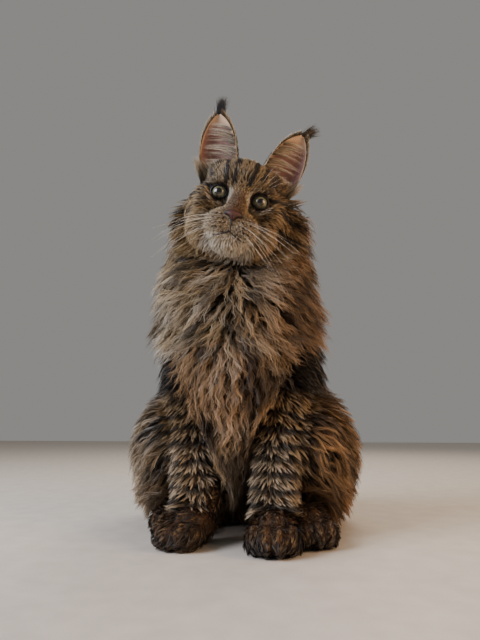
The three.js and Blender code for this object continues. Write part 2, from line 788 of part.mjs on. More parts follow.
function growCoat() {
  const necks = neckForm;
  const legs = Object.keys(SIDES).map(forelegForm);
  const thighs = Object.values(SIDES).map(thighForm);
  const feet = Object.keys(SIDES).flatMap((name) => [forepawForm(name), hindpawForm(name)]);
  const counts = {};
  const intoHead = (p) => p.clone().applyMatrix4(headForm.inverse);
  counts.head = growLocks("head", headForm, LOCKS.head, {
    lie: (p) => new THREE.Vector3(Math.sign(intoHead(p).x) * 0.6, 0.55, -0.75).transformDirection(headFrame),
    keep: (p) => Math.abs(intoHead(p).x) > 24 && intoHead(p).z < 4 && intoHead(p).y > -36,
    avoid: [neckForm],
    seed: 4,
  });
  counts.neck = growLocks("neck", necks, LOCKS.neck, {
    lie: (p) => new THREE.Vector3(p.x * 0.006, p.y > -70 ? 0.5 : -0.05, -1),
    keep: (p) => p.z < 395 && distance(headForm, p) > 2,
    avoid: [headForm, torsoForm, chestForm, ...legs],
    seed: 1,
  });
  counts.chest = growLocks("chest", chestForm, LOCKS.chest, {
    lie: (p) => new THREE.Vector3(-p.x * 0.004, -0.1, -1),
    keep: (p) => p.y < -112 && p.z > 56,
    avoid: [necks, ...legs],
    seed: 2,
  });
  Object.entries(SIDES).forEach(([name, side], i) => {
    counts["foreleg_" + name] = growLocks("foreleg_" + name, legs[i], LOCKS.foreleg, {
      lie: () => new THREE.Vector3(0.1 * side, 0.25, -1),
      keep: (p) => p.z > 60,
      avoid: [necks, torsoForm, chestForm, thighs[i]],
      seed: 10 + side,
    });
    counts["thigh_" + name] = growLocks("thigh_" + name, thighs[i], LOCKS.thigh, {
      lie: () => new THREE.Vector3(0.25 * side, 0.45, -1),
      keep: (p) => p.x * side > 60 && p.z > 24,
      avoid: [torsoForm, ...legs, ...feet],
      seed: 20 + side,
    });
  });
  counts.torso = growLocks("torso", torsoForm, LOCKS.torso, {
    lie: (p) => new THREE.Vector3(p.x * 0.003, 0.35, -1),
    keep: (p) => p.z > 30 && p.y > -80,
    avoid: [necks, ...thighs, ...legs],
    seed: 3,
  });
  const curve = new THREE.CatmullRomCurve3(TAIL_PATH.map(vector));
  const along = Array.from({ length: 41 }, (_, i) => i / 40);
  const away = (t, p) => curve.getPoint(t).distanceTo(p);
  const near = (p) => along.reduce((best, t) => (away(t, p) < away(best, p) ? t : best));
  const lengths = TAIL_LENGTHS.map(([name, from, to]) => ({ name, form: tailForm(from, to) }));
  for (const { name, form } of lengths) {
    counts["tail_" + name] = growLocks("tail_" + name, form, LOCKS.tail, {
      lie: (p) => curve.getTangent(near(p)),
      keep: (p) => p.z > 5 && near(p) < 0.94,
      avoid: [torsoForm, ...thighs, ...lengths.map((other) => other.form).filter((other) => other !== form)],
      seed: 30 + form.muscles.length,
    });
  }
  return counts;
}

buildHead();
const headCutter = toSolid(wrap(headForm, GAP));
buildEars(headCutter);
buildBody(headCutter);
growCoat();

const cat = new THREE.Group();
for (const [name, { solid, colour }] of nodes) {
  const material = new THREE.MeshStandardMaterial({ color: colour, roughness: 0.85, metalness: 0 });
  const mesh = new THREE.Mesh(toGeometry(solid), material);
  mesh.name = name;
  cat.add(mesh);
}

export default cat;
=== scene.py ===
"""A life-size, long-haired brown tabby cat that sits with its head on one side, dressed over its solids."""

import logging
import math
from dataclasses import dataclass
from enum import Enum
from typing import Callable, Sequence

import bmesh
import bpy
import numpy as np
from mathutils import Matrix, Vector, kdtree


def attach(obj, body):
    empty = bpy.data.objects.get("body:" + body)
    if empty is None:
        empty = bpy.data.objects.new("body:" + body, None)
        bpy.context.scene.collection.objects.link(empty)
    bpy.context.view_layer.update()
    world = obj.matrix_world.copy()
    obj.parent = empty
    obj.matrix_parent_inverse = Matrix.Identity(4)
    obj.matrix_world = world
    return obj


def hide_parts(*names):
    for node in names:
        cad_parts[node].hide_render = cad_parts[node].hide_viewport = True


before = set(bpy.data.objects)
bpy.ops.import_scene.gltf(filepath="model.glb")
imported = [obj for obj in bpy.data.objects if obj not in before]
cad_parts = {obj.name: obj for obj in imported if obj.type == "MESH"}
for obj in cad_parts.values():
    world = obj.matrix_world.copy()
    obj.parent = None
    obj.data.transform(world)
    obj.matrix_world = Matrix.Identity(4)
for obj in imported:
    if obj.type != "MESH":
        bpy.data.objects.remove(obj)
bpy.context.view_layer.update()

log = logging.getLogger("cat")

Array = np.ndarray
Random = np.random.Generator
Object = bpy.types.Object
Material = bpy.types.Material
Socket = bpy.types.NodeSocket
Triple = tuple[float, float, float]
Stops = tuple[tuple[float, str], ...]
Lie = Callable[[Array, Array], Array]

MM = 0.001
TINY = 1e-9
BODY = "root"
IMAGE = (480, 640)
BAKE_MAP = "OFBake"

# Each hair's patch of the unwrap, the first seed of the coats, and the fewest locks that a coat has.
PATCH = 0.003
FIRST_SEED = 1000
FEWEST_LOCKS = 8

# The lowest height in millimetres of a lock's line and of a hair, and how far along a hair its colour is taken.
LOWEST_LOCK = 0.8
LOWEST_HAIR = 0.6
MARKED_AT = 0.6

# The solids that the skin and the coat stand for.
FLESH = (
    "head", "neck", "chest", "torso", "foreleg_left", "foreleg_right", "forepaw_left", "forepaw_right",
    "thigh_left", "thigh_right", "hindpaw_left", "hindpaw_right", "tail_base", "tail_middle", "tail_tip",
)

# Places and sizes as in the solids, in millimetres and degrees; those of the face are in the head's frame.
HEAD_AT = (8.3, -124.7, 376.2)
HEAD_TURN = (13.9, 14.5, 8.0)
EYE_AT = (23.0, -27.0, 0.0)
EYE_RADIUS = 10.5
EYE_TURN = (-3.0, 0.0, 9.0)
NOSE_AT = (0.0, -62.0, -25.0)
EAR_ROOT = (35.0, 8.0, 31.0)
EAR_HEIGHT = 79.0
EAR_WIDTH = 50.0
EAR_SUNK = 12.0
EAR_TURN = (-6.0, 17.0, 16.0)
TOE_PITCH = 12
TAIL_PATH = (
    (0, 84, 54), (12, 128, 35), (12, 172, 26.5), (-18, 208, 24),
    (-64, 222, 21.5), (-110, 212, 19), (-148, 184, 16), (-170, 150, 11.2),
)
TAIL_SKIN = (17.0, 5.0)
TAIL_COAT = (20, 26, 28, 28, 27, 25, 22, 15)

# Where the hair of the face parts, what sets the back of an eyeball beyond its iris, a direction that no tube
# runs in, and the steps along an ear's hair.
PARTING = (0, -66, -22)
BEHIND = 30
OFF_AXIS = (0.3, 0.2, 0.93)
EAR_T = np.linspace(0, 1, 5)[None, :, None]


class Side(Enum):
    """The cat's own left, towards +X, and its right."""

    LEFT = 1
    RIGHT = -1

    @property
    def word(self) -> str:
        """The side's name in lower case."""
        return self.name.lower()


PAW_PLACES = {
    Side.LEFT: (((47, -160, 0), 2.0), ((80, -125, 0), 8.0)),
    Side.RIGHT: (((-38, -151, 0), -38.0), ((-66, -88, 0), -8.0)),
}
TUFT_LEAN = {Side.LEFT: 24, Side.RIGHT: 4}
SHOULDERS = {Side.LEFT: (42, -84, 215), Side.RIGHT: (-42, -84, 215)}
ELBOWS = {Side.LEFT: (52, -98, 140), Side.RIGHT: (-49, -97, 140)}
WRISTS = {Side.LEFT: (46, -148, 42), Side.RIGHT: (-38, -140, 42)}


def turn_matrix(pitch: float, roll: float, yaw: float) -> Array:
    """The rotation by roll about Y, then pitch about X, then yaw about Z, in degrees."""
    p, r, y = (math.radians(a) for a in (pitch, roll, yaw))
    about_x = np.array([[1, 0, 0], [0, math.cos(p), -math.sin(p)], [0, math.sin(p), math.cos(p)]])
    about_y = np.array([[math.cos(r), 0, math.sin(r)], [0, 1, 0], [-math.sin(r), 0, math.cos(r)]])
    about_z = np.array([[math.cos(y), -math.sin(y), 0], [math.sin(y), math.cos(y), 0], [0, 0, 1]])
    return about_z @ about_x @ about_y


@dataclass(frozen=True)
class Placing:
    """A turned frame of its own, in millimetres."""

    at: Array
    turn: Array

    def into(self, points: Array) -> Array:
        """World points in this frame."""
        return (points - self.at) @ self.turn

    def out(self, points: Array) -> Array:
        """This frame's points in the world."""
        return points @ self.turn.T + self.at

    def direct(self, vectors: Array) -> Array:
        """This frame's directions in the world."""
        return vectors @ self.turn.T

    def within(self, at: Triple, turn: Triple) -> "Placing":
        """A frame placed and turned inside this one."""
        return Placing(self.out(np.array(at, float)), self.turn @ turn_matrix(*turn))


WORLD = Placing(np.zeros(3), np.eye(3))
HEAD = WORLD.within(HEAD_AT, HEAD_TURN)


def head_placing(at: Triple, turn: Triple, side: Side) -> Placing:
    """The frame of one of a pair on the head, from the left one's place and turn."""
    s = side.value
    return HEAD.within((at[0] * s, at[1], at[2]), (turn[0], turn[1] * s, turn[2] * s))


def eye_placing(side: Side) -> Placing:
    """The frame of an eye, which looks along its own -Y."""
    return head_placing(EYE_AT, EYE_TURN, side)


def ear_placing(side: Side) -> Placing:
    """The frame of an ear, whose tip lies along its own +Z and whose hollow faces -Y."""
    return head_placing(EAR_ROOT, EAR_TURN, side)


@dataclass(frozen=True)
class Ball:
    """An egg-shaped muscle: centre, radii, the coat over it and its turn."""

    centre: Triple
    radii: Triple
    coat: float = 0.0
    turn: Triple = (0.0, 0.0, 0.0)

    def distance(self, points: Array, share: float) -> Array:
        """Distances to the egg grown by a share of its coat, below 0 inside."""
        local = (points - np.array(self.centre)) @ turn_matrix(*self.turn)
        radii = np.array(self.radii) + share * self.coat
        scaled = local / radii
        size = np.linalg.norm(scaled, axis=1) + TINY
        slope = np.linalg.norm(scaled / radii, axis=1) + TINY
        return size * (size - 1) / slope


@dataclass(frozen=True)
class Rod:
    """A limb with round ends that tapers, and the coat at each of them."""

    start: Triple
    end: Triple
    radii: tuple[float, float]
    coats: tuple[float, float] = (0.0, 0.0)

    def distance(self, points: Array, share: float) -> Array:
        """Distances to the limb grown by a share of its coat, below 0 inside."""
        start = np.array(self.start, float)
        along = np.array(self.end, float) - start
        local = points - start
        t = np.clip(local @ along / (along @ along), 0, 1)
        radius = self.radii[0] + (self.radii[1] - self.radii[0]) * t
        coat = self.coats[0] + (self.coats[1] - self.coats[0]) * t
        return np.linalg.norm(local - t[:, None] * along, axis=1) - radius - share * coat


def soft_minimum(a: Array, b: Array, softness: float) -> Array:
    """The lesser of two distances, blended where they are close."""
    near = np.maximum(softness - np.abs(a - b), 0) / softness
    return np.minimum(a, b) - near * near * softness / 4


@dataclass(frozen=True)
class Form:
    """Muscles that blend into one form, in a frame of their own."""

    name: str
    muscles: tuple[Ball | Rod, ...]
    softness: float
    placing: Placing = WORLD

    def distance(self, points: Array, share: float = 0.0) -> Array:
        """Distances of world points in millimetres to the form at a share of its coat."""
        here = self.placing.into(points)
        least = self.muscles[0].distance(here, share)
        for muscle in self.muscles[1:]:
            least = soft_minimum(least, muscle.distance(here, share), self.softness)
        return least


def both(make: Callable[[int], Ball]) -> tuple[Ball, Ball]:
    """A muscle and its mirror image."""
    return make(1), make(-1)


def head_form() -> Form:
    """Skull, brow, bridge, muzzle, chin and cheeks."""
    muscles = (
        Ball((0, 8, 14), (41, 46, 36), 5), Ball((0, -18, 22), (31, 22, 22), 2),
        Rod((0, -26, 10), (0, -57, -20), (13, 9.5)), Ball((0, -42, -32), (23, 20, 18), 2),
        Ball((0, -46, -53), (18, 15, 12.5), 4), Ball((0, -10, -40), (34, 34, 24), 4),
        *both(lambda s: Ball((21 * s, -25, 13), (15, 12, 9), 0, (0, 8 * s, 0))),
        *both(lambda s: Ball((33 * s, -6, -14), (20, 30, 24), 8)),
        *both(lambda s: Ball((22 * s, -26, -13), (16, 12, 10), 1)),
        *both(lambda s: Ball((22 * s, -16, -38), (22, 28, 20), 12)),
        *both(lambda s: Ball((12.5 * s, -52, -36), (14.5, 14, 13), 1)),
        *both(lambda s: Ball((30 * s, 12, 32), (15, 14, 14), 2)),
    )
    return Form("head", muscles, 9, HEAD)


def trunk_forms() -> list[Form]:
    """Neck, chest and torso."""
    neck = (
        Rod((0, -68, 246), (5, -84, 346), (50, 42), (26, 18)), Ball((1, -110, 246), (40, 28, 36), 36),
        *both(lambda s: Ball((42 * s + 4, -92, 346), (18, 26, 34), 32)),
        *both(lambda s: Ball((40 * s, -88, 272), (26, 32, 40), 38)),
    )
    chest = (Ball((0, -106, 190), (42, 34, 66), 28), Ball((0, -120, 112), (14, 14, 50), 14))
    torso = (
        Ball((0, 24, 72), (72, 76, 72), 24), Rod((0, 4, 96), (0, -72, 236), (74, 50), (24, 26)),
        Ball((0, -66, 258), (48, 34, 36), 24),
        *both(lambda s: Ball((46 * s, -58, 212), (30, 38, 52), 24)),
        *both(lambda s: Ball((48 * s, -34, 160), (32, 46, 48), 26)),
    )
    return [Form("neck", neck, 20), Form("chest", chest, 24), Form("torso", torso, 30)]


def paw_muscles(foot: Sequence[Ball | Rod]) -> tuple[Ball | Rod, ...]:
    """A foot with four toes in an arc at its front."""
    toes = []
    for n in (-1.5, -0.5, 0.5, 1.5):
        toes.append(Ball((n * TOE_PITCH, -24 + n * n * 3.2, 12.5), (8.6, 16, 13), 3.5, (0, 0, -n * 9)))
    return (*foot, *toes)


def limb_forms(side: Side) -> list[Form]:
    """Foreleg, forepaw, thigh and hind paw of one side."""
    s = side.value
    (fore_at, fore_turn), (hind_at, hind_turn) = PAW_PLACES[side]
    foreleg = (
        Rod(SHOULDERS[side], ELBOWS[side], (26, 23), (18, 16)),
        Rod(ELBOWS[side], WRISTS[side], (20, 15.5), (12, 11)),
    )
    forepaw = paw_muscles([Ball((0, 2, 19), (20, 26, 18), 4), Rod((0, 12, 26), (0, 26, 46), (15, 14), (6, 6))])
    hindpaw = paw_muscles([Ball((0, -2, 18), (20, 24, 17), 4), Rod((0, 10, 18), (0, 120, 26), (17, 20), (6, 6))])
    thigh = (
        Ball((80 * s, -8, 84), (40, 74, 62), 28, (6, 0, 0)),
        Ball((76 * s, -84, 92), (26, 34, 42), 22),
    )
    return [
        Form("foreleg_" + side.word, foreleg, 14),
        Form("forepaw_" + side.word, forepaw, 4, WORLD.within(fore_at, (0, 0, fore_turn))),
        Form("thigh_" + side.word, thigh, 24),
        Form("hindpaw_" + side.word, hindpaw, 4, WORLD.within(hind_at, (0, 0, hind_turn))),
    ]


def tail_form() -> Form:
    """The tail, as one limb after another along its path."""
    last = len(TAIL_PATH) - 1
    size = [TAIL_SKIN[0] + (TAIL_SKIN[1] - TAIL_SKIN[0]) * i / last for i in range(last + 1)]
    rods = tuple(
        Rod(TAIL_PATH[i], TAIL_PATH[i + 1], (size[i], size[i + 1]), (TAIL_COAT[i], TAIL_COAT[i + 1]))
        for i in range(last)
    )
    return Form("tail", rods, 10)


@dataclass
class Figure:
    """The whole cat as one blend of forms, its slope read a sample's length away."""

    forms: list[Form]
    softness: float = 9.0
    sample: float = 0.4
    buried: float = 6.0

    def distance(self, points: Array, share: float = 0.0) -> Array:
        """Distances in millimetres to the whole figure at a share of its coat."""
        least = self.forms[0].distance(points, share)
        for form in self.forms[1:]:
            least = soft_minimum(least, form.distance(points, share), self.softness)
        return least

    def outward(self, points: Array, share: float = 0.0) -> Array:
        """Unit directions away from the figure's surface, by four samples round each point."""
        corners = np.array([[1, -1, -1], [-1, -1, 1], [-1, 1, -1], [1, 1, 1]], float)
        slope = np.zeros_like(points)
        for corner in corners:
            slope += self.distance(points + self.sample * corner, share)[:, None] * corner
        return slope / (np.linalg.norm(slope, axis=1, keepdims=True) + TINY)

    def nearest(self, points: Array) -> Array:
        """For each point, the index of the form whose skin is nearest."""
        return np.argmin(np.stack([form.distance(points) for form in self.forms]), axis=0)

    def outside(self, points: Array) -> Array:
        """1 for places on the outer skin of the figure, 0 for those buried in it."""
        return (self.distance(points) > -self.buried) * 1.0

    def index(self, prefix: str) -> list[int]:
        """The places of the forms whose names start so."""
        return [i for i, form in enumerate(self.forms) if form.name.startswith(prefix)]


def make_figure() -> Figure:
    """The cat's forms, in the order of its parts."""
    limbs = [form for side in Side for form in limb_forms(side)]
    return Figure([head_form(), *trunk_forms(), *limbs, tail_form()])


# Markings

CELL_PRIMES = (73856093, 19349663, 83492791)
SEED_PRIME = 2654435761
MIX_PRIME = 1274126177
POSITIVE = 0x7FFFFFFF
HASH_STEPS = 0xFFFFF


def hashed(cells: Array, seed: int) -> Array:
    """A number from 0 to 1 for each whole-number cell."""
    x, y, z = (cells[:, i] * prime for i, prime in enumerate(CELL_PRIMES))
    mixed = x ^ y ^ z ^ seed * SEED_PRIME
    mixed = (mixed ^ (mixed >> 13)) * MIX_PRIME & POSITIVE
    return ((mixed ^ (mixed >> 11)) & HASH_STEPS) / HASH_STEPS


def noise(points: Array, size: float, seed: int = 0, upright: float = 1.0) -> Array:
    """Smooth noise from 0 to 1.

    Args:
        points: Places in millimetres.
        size: The size of its grains in millimetres.
        seed: Which noise it is.
        upright: Below 1, grains drawn out upwards.
    Returns:
        A value for each place.
    """
    scaled = points * np.array([1, 1, upright]) / size
    base = np.floor(scaled).astype(np.int64)
    part = scaled - base
    part = part * part * (3 - 2 * part)
    total = np.zeros(len(points))
    for corner in np.ndindex(2, 2, 2):
        weight = np.prod(np.where(np.array(corner) == 1, part, 1 - part), axis=1)
        total += weight * hashed(base + np.array(corner), seed)
    return total


def rise(low: float, high: float, values: Array) -> Array:
    """0 below low, 1 above high, smooth between; falls instead where high is the lower."""
    t = np.clip((values - low) / (high - low), 0, 1)
    return t * t * (3 - 2 * t)


def bars(phase: Array, width: float) -> Array:
    """Soft bars, one for each whole turn of the phase."""
    return rise(width - 0.25, width + 0.45, np.cos(2 * np.pi * phase))


@dataclass
class Paint:
    """How dark, warm and pale some places are, each from 0 to 1."""

    dark: Array
    warm: Array
    pale: Array

    def over(self, here: Array, **values: Array | float) -> None:
        """Takes new values where a mask says so."""
        for name, value in values.items():
            setattr(self, name, np.where(here, value, getattr(self, name)))


@dataclass
class Markings:
    """The tabby pattern, in the frame of each part, mixed with some painted warm light, painted pale light and
    painted shade.
    """

    figure: Figure

    def head(self, points: Array) -> Paint:
        """The mask of the face: first the dark marks, then the pale ones, then where it is warm, partly a painted
        warm light on the +X cheek.
        """
        p = HEAD.into(points)
        x, y, z = np.abs(p[:, 0]), p[:, 1], p[:, 2]
        wobble = (noise(p, 11, 1) - 0.5) * 5
        ring = np.hypot(x - EYE_AT[0], z)
        brow = rise(11, 17, z + 0.25 * x) * rise(30, 14, y)
        across = x + 0.8 * wobble + 0.35 * (noise(p, 4, 18) - 0.5) * 6 + 1.5
        gaps = rise(0.22, 0.42, noise(p, 10, 19, 0.6))
        lines = bars(across / (9.0 + 0.09 * z), -0.1) * brow * rise(33, 27, x) * gaps
        middle = rise(4, 14, z) * rise(-16, -30, y) * rise(9, 5, x) * 0.45 * noise(p, 5, 15)
        slope = z + 0.42 * (y + 24) + wobble * 0.7
        zone = rise(26, 32, x) * rise(-32, -24, y) * rise(70, 44, y)
        cheek = np.maximum(rise(5.6, 3.2, np.abs(slope + 4)), rise(6.4, 3.8, np.abs(slope + 26))) * zone
        outer = rise(3.4, 1.6, np.abs(z - 5 - 0.2 * (x - 30) + wobble * 0.4)) * rise(30, 34, x) * rise(60, 30, y)
        pad = rise(-40, -46, y) * rise(-22, -27, z) * rise(-49, -45, z)
        row = (z + 27 + 0.12 * (x - 14)) / 4.9
        column = (x + 1.9 * np.round(row) + 0.5 * wobble) / 4.6
        spots = rise(0.36, 0.18, np.hypot((row - np.round(row)) * 1.3, column - np.round(column)))
        spots = spots * pad * rise(5.5, 8, x) * rise(26, 22, x)
        crown = rise(38, 46, z) * rise(-8, 16, y) * 0.75 + rise(10, 30, y) * 0.5 * rise(0.35, 0.6, noise(p, 18, 16))
        bridge = rise(12, 8, x) * rise(-36, -46, y) * rise(-26, -20, z) * rise(8, -4, z)
        rim = rise(11.6, 10.2, ring) * rise(-14, -20, y)
        below = rise(27, 22, ring) * rise(15, 18, ring) * rise(0, -6, z) * rise(24, 30, x) * 0.55
        temple = rise(24, 32, x) * rise(8, 14, z) * (0.35 + 0.5 * rise(0.4, 0.65, noise(p, 8, 21)))
        tear = rise(2.2, 0.8, np.abs(x - 13.5 + 0.18 * (z + 8))) * rise(-2, -7, z) * rise(-20, -15, z) * 0.7
        dark = np.maximum.reduce([
            lines, 0.28 * brow, middle, temple, bridge * 0.4, tear * rise(-24, -30, y),
            cheek, outer, spots, crown, rim, below,
        ])
        chin = rise(-45.5, -49, z + 0.1 * (y + 50)) * rise(-14, -30, y) * rise(34, 26, x)
        inner = rise(5.5, 3, np.hypot(x - 11.5, (z - 0.5) * 0.55)) * rise(-20, -26, y)
        under = rise(2.6, 1.4, np.abs(ring - 13.4)) * rise(2, -5, z) * rise(-14, -20, y) * 0.8
        over = rise(2.4, 1.2, np.abs(ring - 13.6)) * rise(4, 8, z) * rise(-12, -20, y) * 0.3
        pale = np.clip(np.maximum.reduce([chin, inner * 0.85, under * 0.75, over, pad * 0.38]), 0, 1)
        # Warm is the rufous bridge of the nose plus a painted warm light on the outer cheek of the +X side.
        warm = np.maximum(bridge * 0.6, 0.28 * rise(-20, 30, p[:, 0]) * rise(20, 34, x)) + 0.08
        return Paint(np.clip(dark, 0, 1), np.clip(warm, 0, 1), pale * (1 - 0.8 * spots))

    def body(self, points: Array, form: Array) -> Paint:
        """Bars on the legs, patches on the flanks, rings on the tail and a dark back, with painted warm light
        towards +X, painted pale light towards -X on the neck and the right thigh, and painted shade under the chin
        and between the toes.

        Args:
            points: World points in millimetres.
            form: The index of each point's own form.
        Returns:
            The paint of all the points, those of the head still without their mask.
        """
        x, y, z = points.T
        wide = np.abs(x)
        patch, fine = noise(points, 46, 3), noise(points, 15, 4)
        # The base warmth is partly random rufous tone and partly a painted warm light that grows towards +X, the
        # side the warm lamp lights.
        paint = Paint(
            rise(0.42, 0.7, 0.7 * patch + 0.3 * fine),
            0.1 + 0.4 * noise(points, 60, 5) + 0.45 * rise(-60, 110, x),
            np.zeros(len(points)),
        )

        def on(prefix: str) -> Array:
            """Which points are on the forms whose names start so."""
            return np.isin(form, self.figure.index(prefix))

        narrow = bars((z + 12 * noise(points, 26, 6)) / 15.0, 0.22) * rise(150, 130, z) * 0.92
        upper = rise(132, 150, z) * rise(0.35, 0.6, noise(points, 34, 7))
        bands = np.maximum.reduce([narrow, upper, rise(40, 52, wide) * rise(140, 160, z)])
        paint.over(on("foreleg"), dark=bands, pale=0.28 * rise(125, 80, z), warm=0.2 + 0.3 * fine)

        for i in self.figure.index("forepaw") + self.figure.index("hindpaw"):
            across = self.figure.forms[i].placing.into(points)[:, 0]
            # The paws' fur is dark with tan toe tops; the darker clefts between the toes and the darker base near
            # the floor are partly painted shade.
            toes = 0.55 + 0.45 * np.cos(2 * np.pi * (across / TOE_PITCH + 0.5))
            dark = np.clip(0.72 - 0.5 * toes * rise(8, 18, z) + 0.4 * fine, 0, 1)
            paint.over(form == i, dark=dark, warm=0.55)

        grey = rise(0.45, 0.75, noise(points, 24, 8, 0.6)) * (0.5 + 0.4 * rise(-130, -60, y))
        # Painted shade: a dark patch on the throat just under the chin.
        shade_under_chin = rise(30, 12, wide) * rise(270, 300, z) * 0.5
        streak = rise(0.5, 0.72, noise(points, 13, 20, 0.7)) * 0.8
        # Pale tufts at the front of the neck, partly painted cool light that grows towards -X, the window side.
        light = 0.62 * rise(0.35, 0.7, noise(points, 22, 9)) * rise(-50, -100, y) * rise(80, -40, x) + 0.05
        ruff = np.maximum.reduce([grey, shade_under_chin, streak])
        # The neck's warmth is a painted warm light that grows towards +X.
        paint.over(on("neck"), dark=ruff, pale=light, warm=0.1 + 0.75 * rise(-10, 70, x))

        streak = 0.85 * rise(0.52, 0.72, noise(points, 22, 13, 0.55))
        light = 0.25 * rise(0.4, 0.7, noise(points, 24, 14))
        paint.over(on("chest"), dark=streak, pale=light, warm=0.45 + 0.35 * rise(0.3, 0.7, patch))

        sweep = bars((z * 0.8 + 0.5 * y + 22 * noise(points, 55, 10)) / 44, 0.15)
        # Pale patches on the outer right thigh, partly painted cool light on the -X side.
        light = 0.35 * rise(-60, -100, x) * rise(0.3, 0.6, noise(points, 20, 17))
        dark = np.clip(0.5 * sweep + 0.35 * paint.dark, 0, 1)
        paint.over(on("thigh"), dark=dark, pale=light, warm=paint.warm + 0.4 * rise(70, 20, z))

        sweep = bars((y + 0.35 * z + 26 * noise(points, 60, 11)) / 52, 0.1)
        back = rise(26, 12, wide) * rise(-30, 20, y)
        shoulder = rise(38, 56, wide) * rise(135, 155, z) * rise(236, 216, z) * rise(-10, -50, y)
        paint.over(on("torso"), dark=np.clip(np.maximum.reduce([0.8 * sweep, back, shoulder]), 0, 1))

        away = np.linalg.norm(points[:, None, :2] - np.array(TAIL_PATH, float)[None, :, :2], axis=2)
        place = np.argmin(away, axis=1) + 0.02 * (np.min(away, axis=1) * np.sign(y - 190))
        ring = bars(place / 1.15 + 0.3 * noise(points, 30, 12), 0.1)
        paint.over(on("tail"), dark=np.maximum(0.85 * ring, rise(5.2, 6.2, place)))
        paint.warm = np.clip(paint.warm, 0, 1)
        return paint

    def at(self, points: Array, form: Array | None = None) -> dict[str, Array]:
        """The markings of places, as attribute names and values.

        Args:
            points: World points in millimetres.
            form: The index of each point's own form, or nothing for the nearest.
        Returns:
            Dark, warm and pale, each from 0 to 1.
        """
        form = self.figure.nearest(points) if form is None else form
        paint = self.body(points, form)
        on_head = form == self.figure.index("head")[0]
        if on_head.any():
            for name, values in vars(self.head(points[on_head])).items():
                getattr(paint, name)[on_head] = values
        return dict(vars(paint))


# Finishes

def colour(code: str) -> tuple[float, ...]:
    """A linear colour from an sRGB hex value."""
    parts = [int(code[i : i + 2], 16) / 255 for i in (0, 2, 4)]
    linear = [c / 12.92 if c <= 0.04045 else ((c + 0.055) / 1.055) ** 2.4 for c in parts]
    return (*linear, 1.0)


class Shading:
    """A material that is built node by node round one Principled shader."""

    def __init__(self, name: str, inputs: dict[str, object]) -> None:
        """Starts the material, with its shader linked to its output.

        Args:
            name: The material's name.
            inputs: Inputs of the shader, each with its value.
        """
        self.material = bpy.data.materials.new(name)
        self.material.use_nodes = True
        self.tree = self.material.node_tree
        self.tree.nodes.clear()
        self.shader = self.add("ShaderNodeBsdfPrincipled", inputs)
        self.add("ShaderNodeOutputMaterial", {"Surface": self.shader.outputs["BSDF"]})

    def add(self, kind: str, inputs: dict, **settings: object) -> bpy.types.Node:
        """Adds a node, sets its properties and its inputs, and links what feeds it.

        Args:
            kind: The node's type.
            inputs: Input names or numbers, each with the output or the value that it takes.
            settings: The node's own properties.
        Returns:
            The new node.
        """
        node = self.tree.nodes.new(kind)
        for key, value in settings.items():
            setattr(node, key, value)
        for key, value in inputs.items():
            if isinstance(value, Socket):
                self.tree.links.new(value, node.inputs[key])
            else:
                node.inputs[key].default_value = value
        return node

    def mark(self, name: str) -> Socket:
        """The value of a named attribute."""
        return self.add("ShaderNodeAttribute", {}, attribute_name=name).outputs["Fac"]

    def place(self) -> Socket:
        """The place in the object's own coordinates."""
        return self.add("ShaderNodeTexCoord", {}).outputs["Object"]

    def noise(self, place: Socket, scale: float, **inputs: float) -> Socket:
        """Noise at a place."""
        named = {"Vector": place, "Scale": scale, **inputs}
        return self.add("ShaderNodeTexNoise", named).outputs["Fac"]

    def ramp(self, factor: Socket, stops: Stops) -> Socket:
        """A run of hex colours along a factor."""
        node = self.add("ShaderNodeValToRGB", {"Fac": factor})
        elements = node.color_ramp.elements
        while len(elements) < len(stops):
            elements.new(0.5)
        for element, (place, code) in zip(elements, stops):
            element.position = place
            element.color = colour(code)
        return node.outputs["Color"]

    def mixed(self, factor: Socket | float, a: object, b: object, blend: str = "MIX") -> Socket:
        """Two colours mixed by a factor."""
        inputs = {0: factor, 6: a, 7: b}
        return self.add("ShaderNodeMix", inputs, data_type="RGBA", blend_type=blend).outputs[2]

    def reckon(self, operation: str, a: object, b: object) -> Socket:
        """One sum of two values."""
        return self.add("ShaderNodeMath", {0: a, 1: b}, operation=operation).outputs[0]

    def base(self, value: Socket) -> None:
        """Links the shader's colour."""
        self.tree.links.new(value, self.shader.inputs["Base Color"])

    def bump(self, height: Socket, strength: float, distance: float, invert: bool = False) -> None:
        """Roughens the surface by a height."""
        inputs = {"Height": height, "Strength": strength, "Distance": distance}
        node = self.add("ShaderNodeBump", inputs, invert=invert)
        self.tree.links.new(node.outputs[0], self.shader.inputs["Normal"])


@dataclass(frozen=True)
class HairFinish:
    """Cat hair is keratin banded from a dark root to a light tip, with a soft gloss along its length."""

    name: str = "banded_cat_hair"
    ground: Stops = ((0.0, "211b16"), (0.25, "51432f"), (0.55, "a88d62"), (1.0, "dcc398"))
    stripe: Stops = ((0.0, "0f0c0a"), (0.5, "1d1712"), (1.0, "3d3025"))
    pale: Stops = ((0.0, "85765f"), (0.35, "cbbb9e"), (1.0, "f3eadb"))
    warm: Stops = ((0.0, "20160f"), (0.25, "533822"), (0.6, "946a40"), (1.0, "c1905c"))
    light: Stops = ((0.0, "8a8a8a"), (0.5, "cccccc"), (1.0, "ffffff"))
    roughness: float = 0.5
    specular: float = 0.35
    sheen: tuple[float, float] = (0.12, 0.4)

    def build(self) -> Material:
        """The finish as a material that reads the markings kept on each hair."""
        made = Shading(self.name, {
            "Roughness": self.roughness, "Specular IOR Level": self.specular,
            "Sheen Weight": self.sheen[0], "Sheen Roughness": self.sheen[1],
        })
        along = made.mark("along")
        hair = made.ramp(along, self.ground)
        for mark, stops in (("warm", self.warm), ("pale", self.pale), ("dark", self.stripe)):
            hair = made.mixed(made.mark(mark), hair, made.ramp(along, stops))
        made.base(made.mixed(1.0, hair, made.ramp(made.mark("tone"), self.light), "MULTIPLY"))
        return made.material


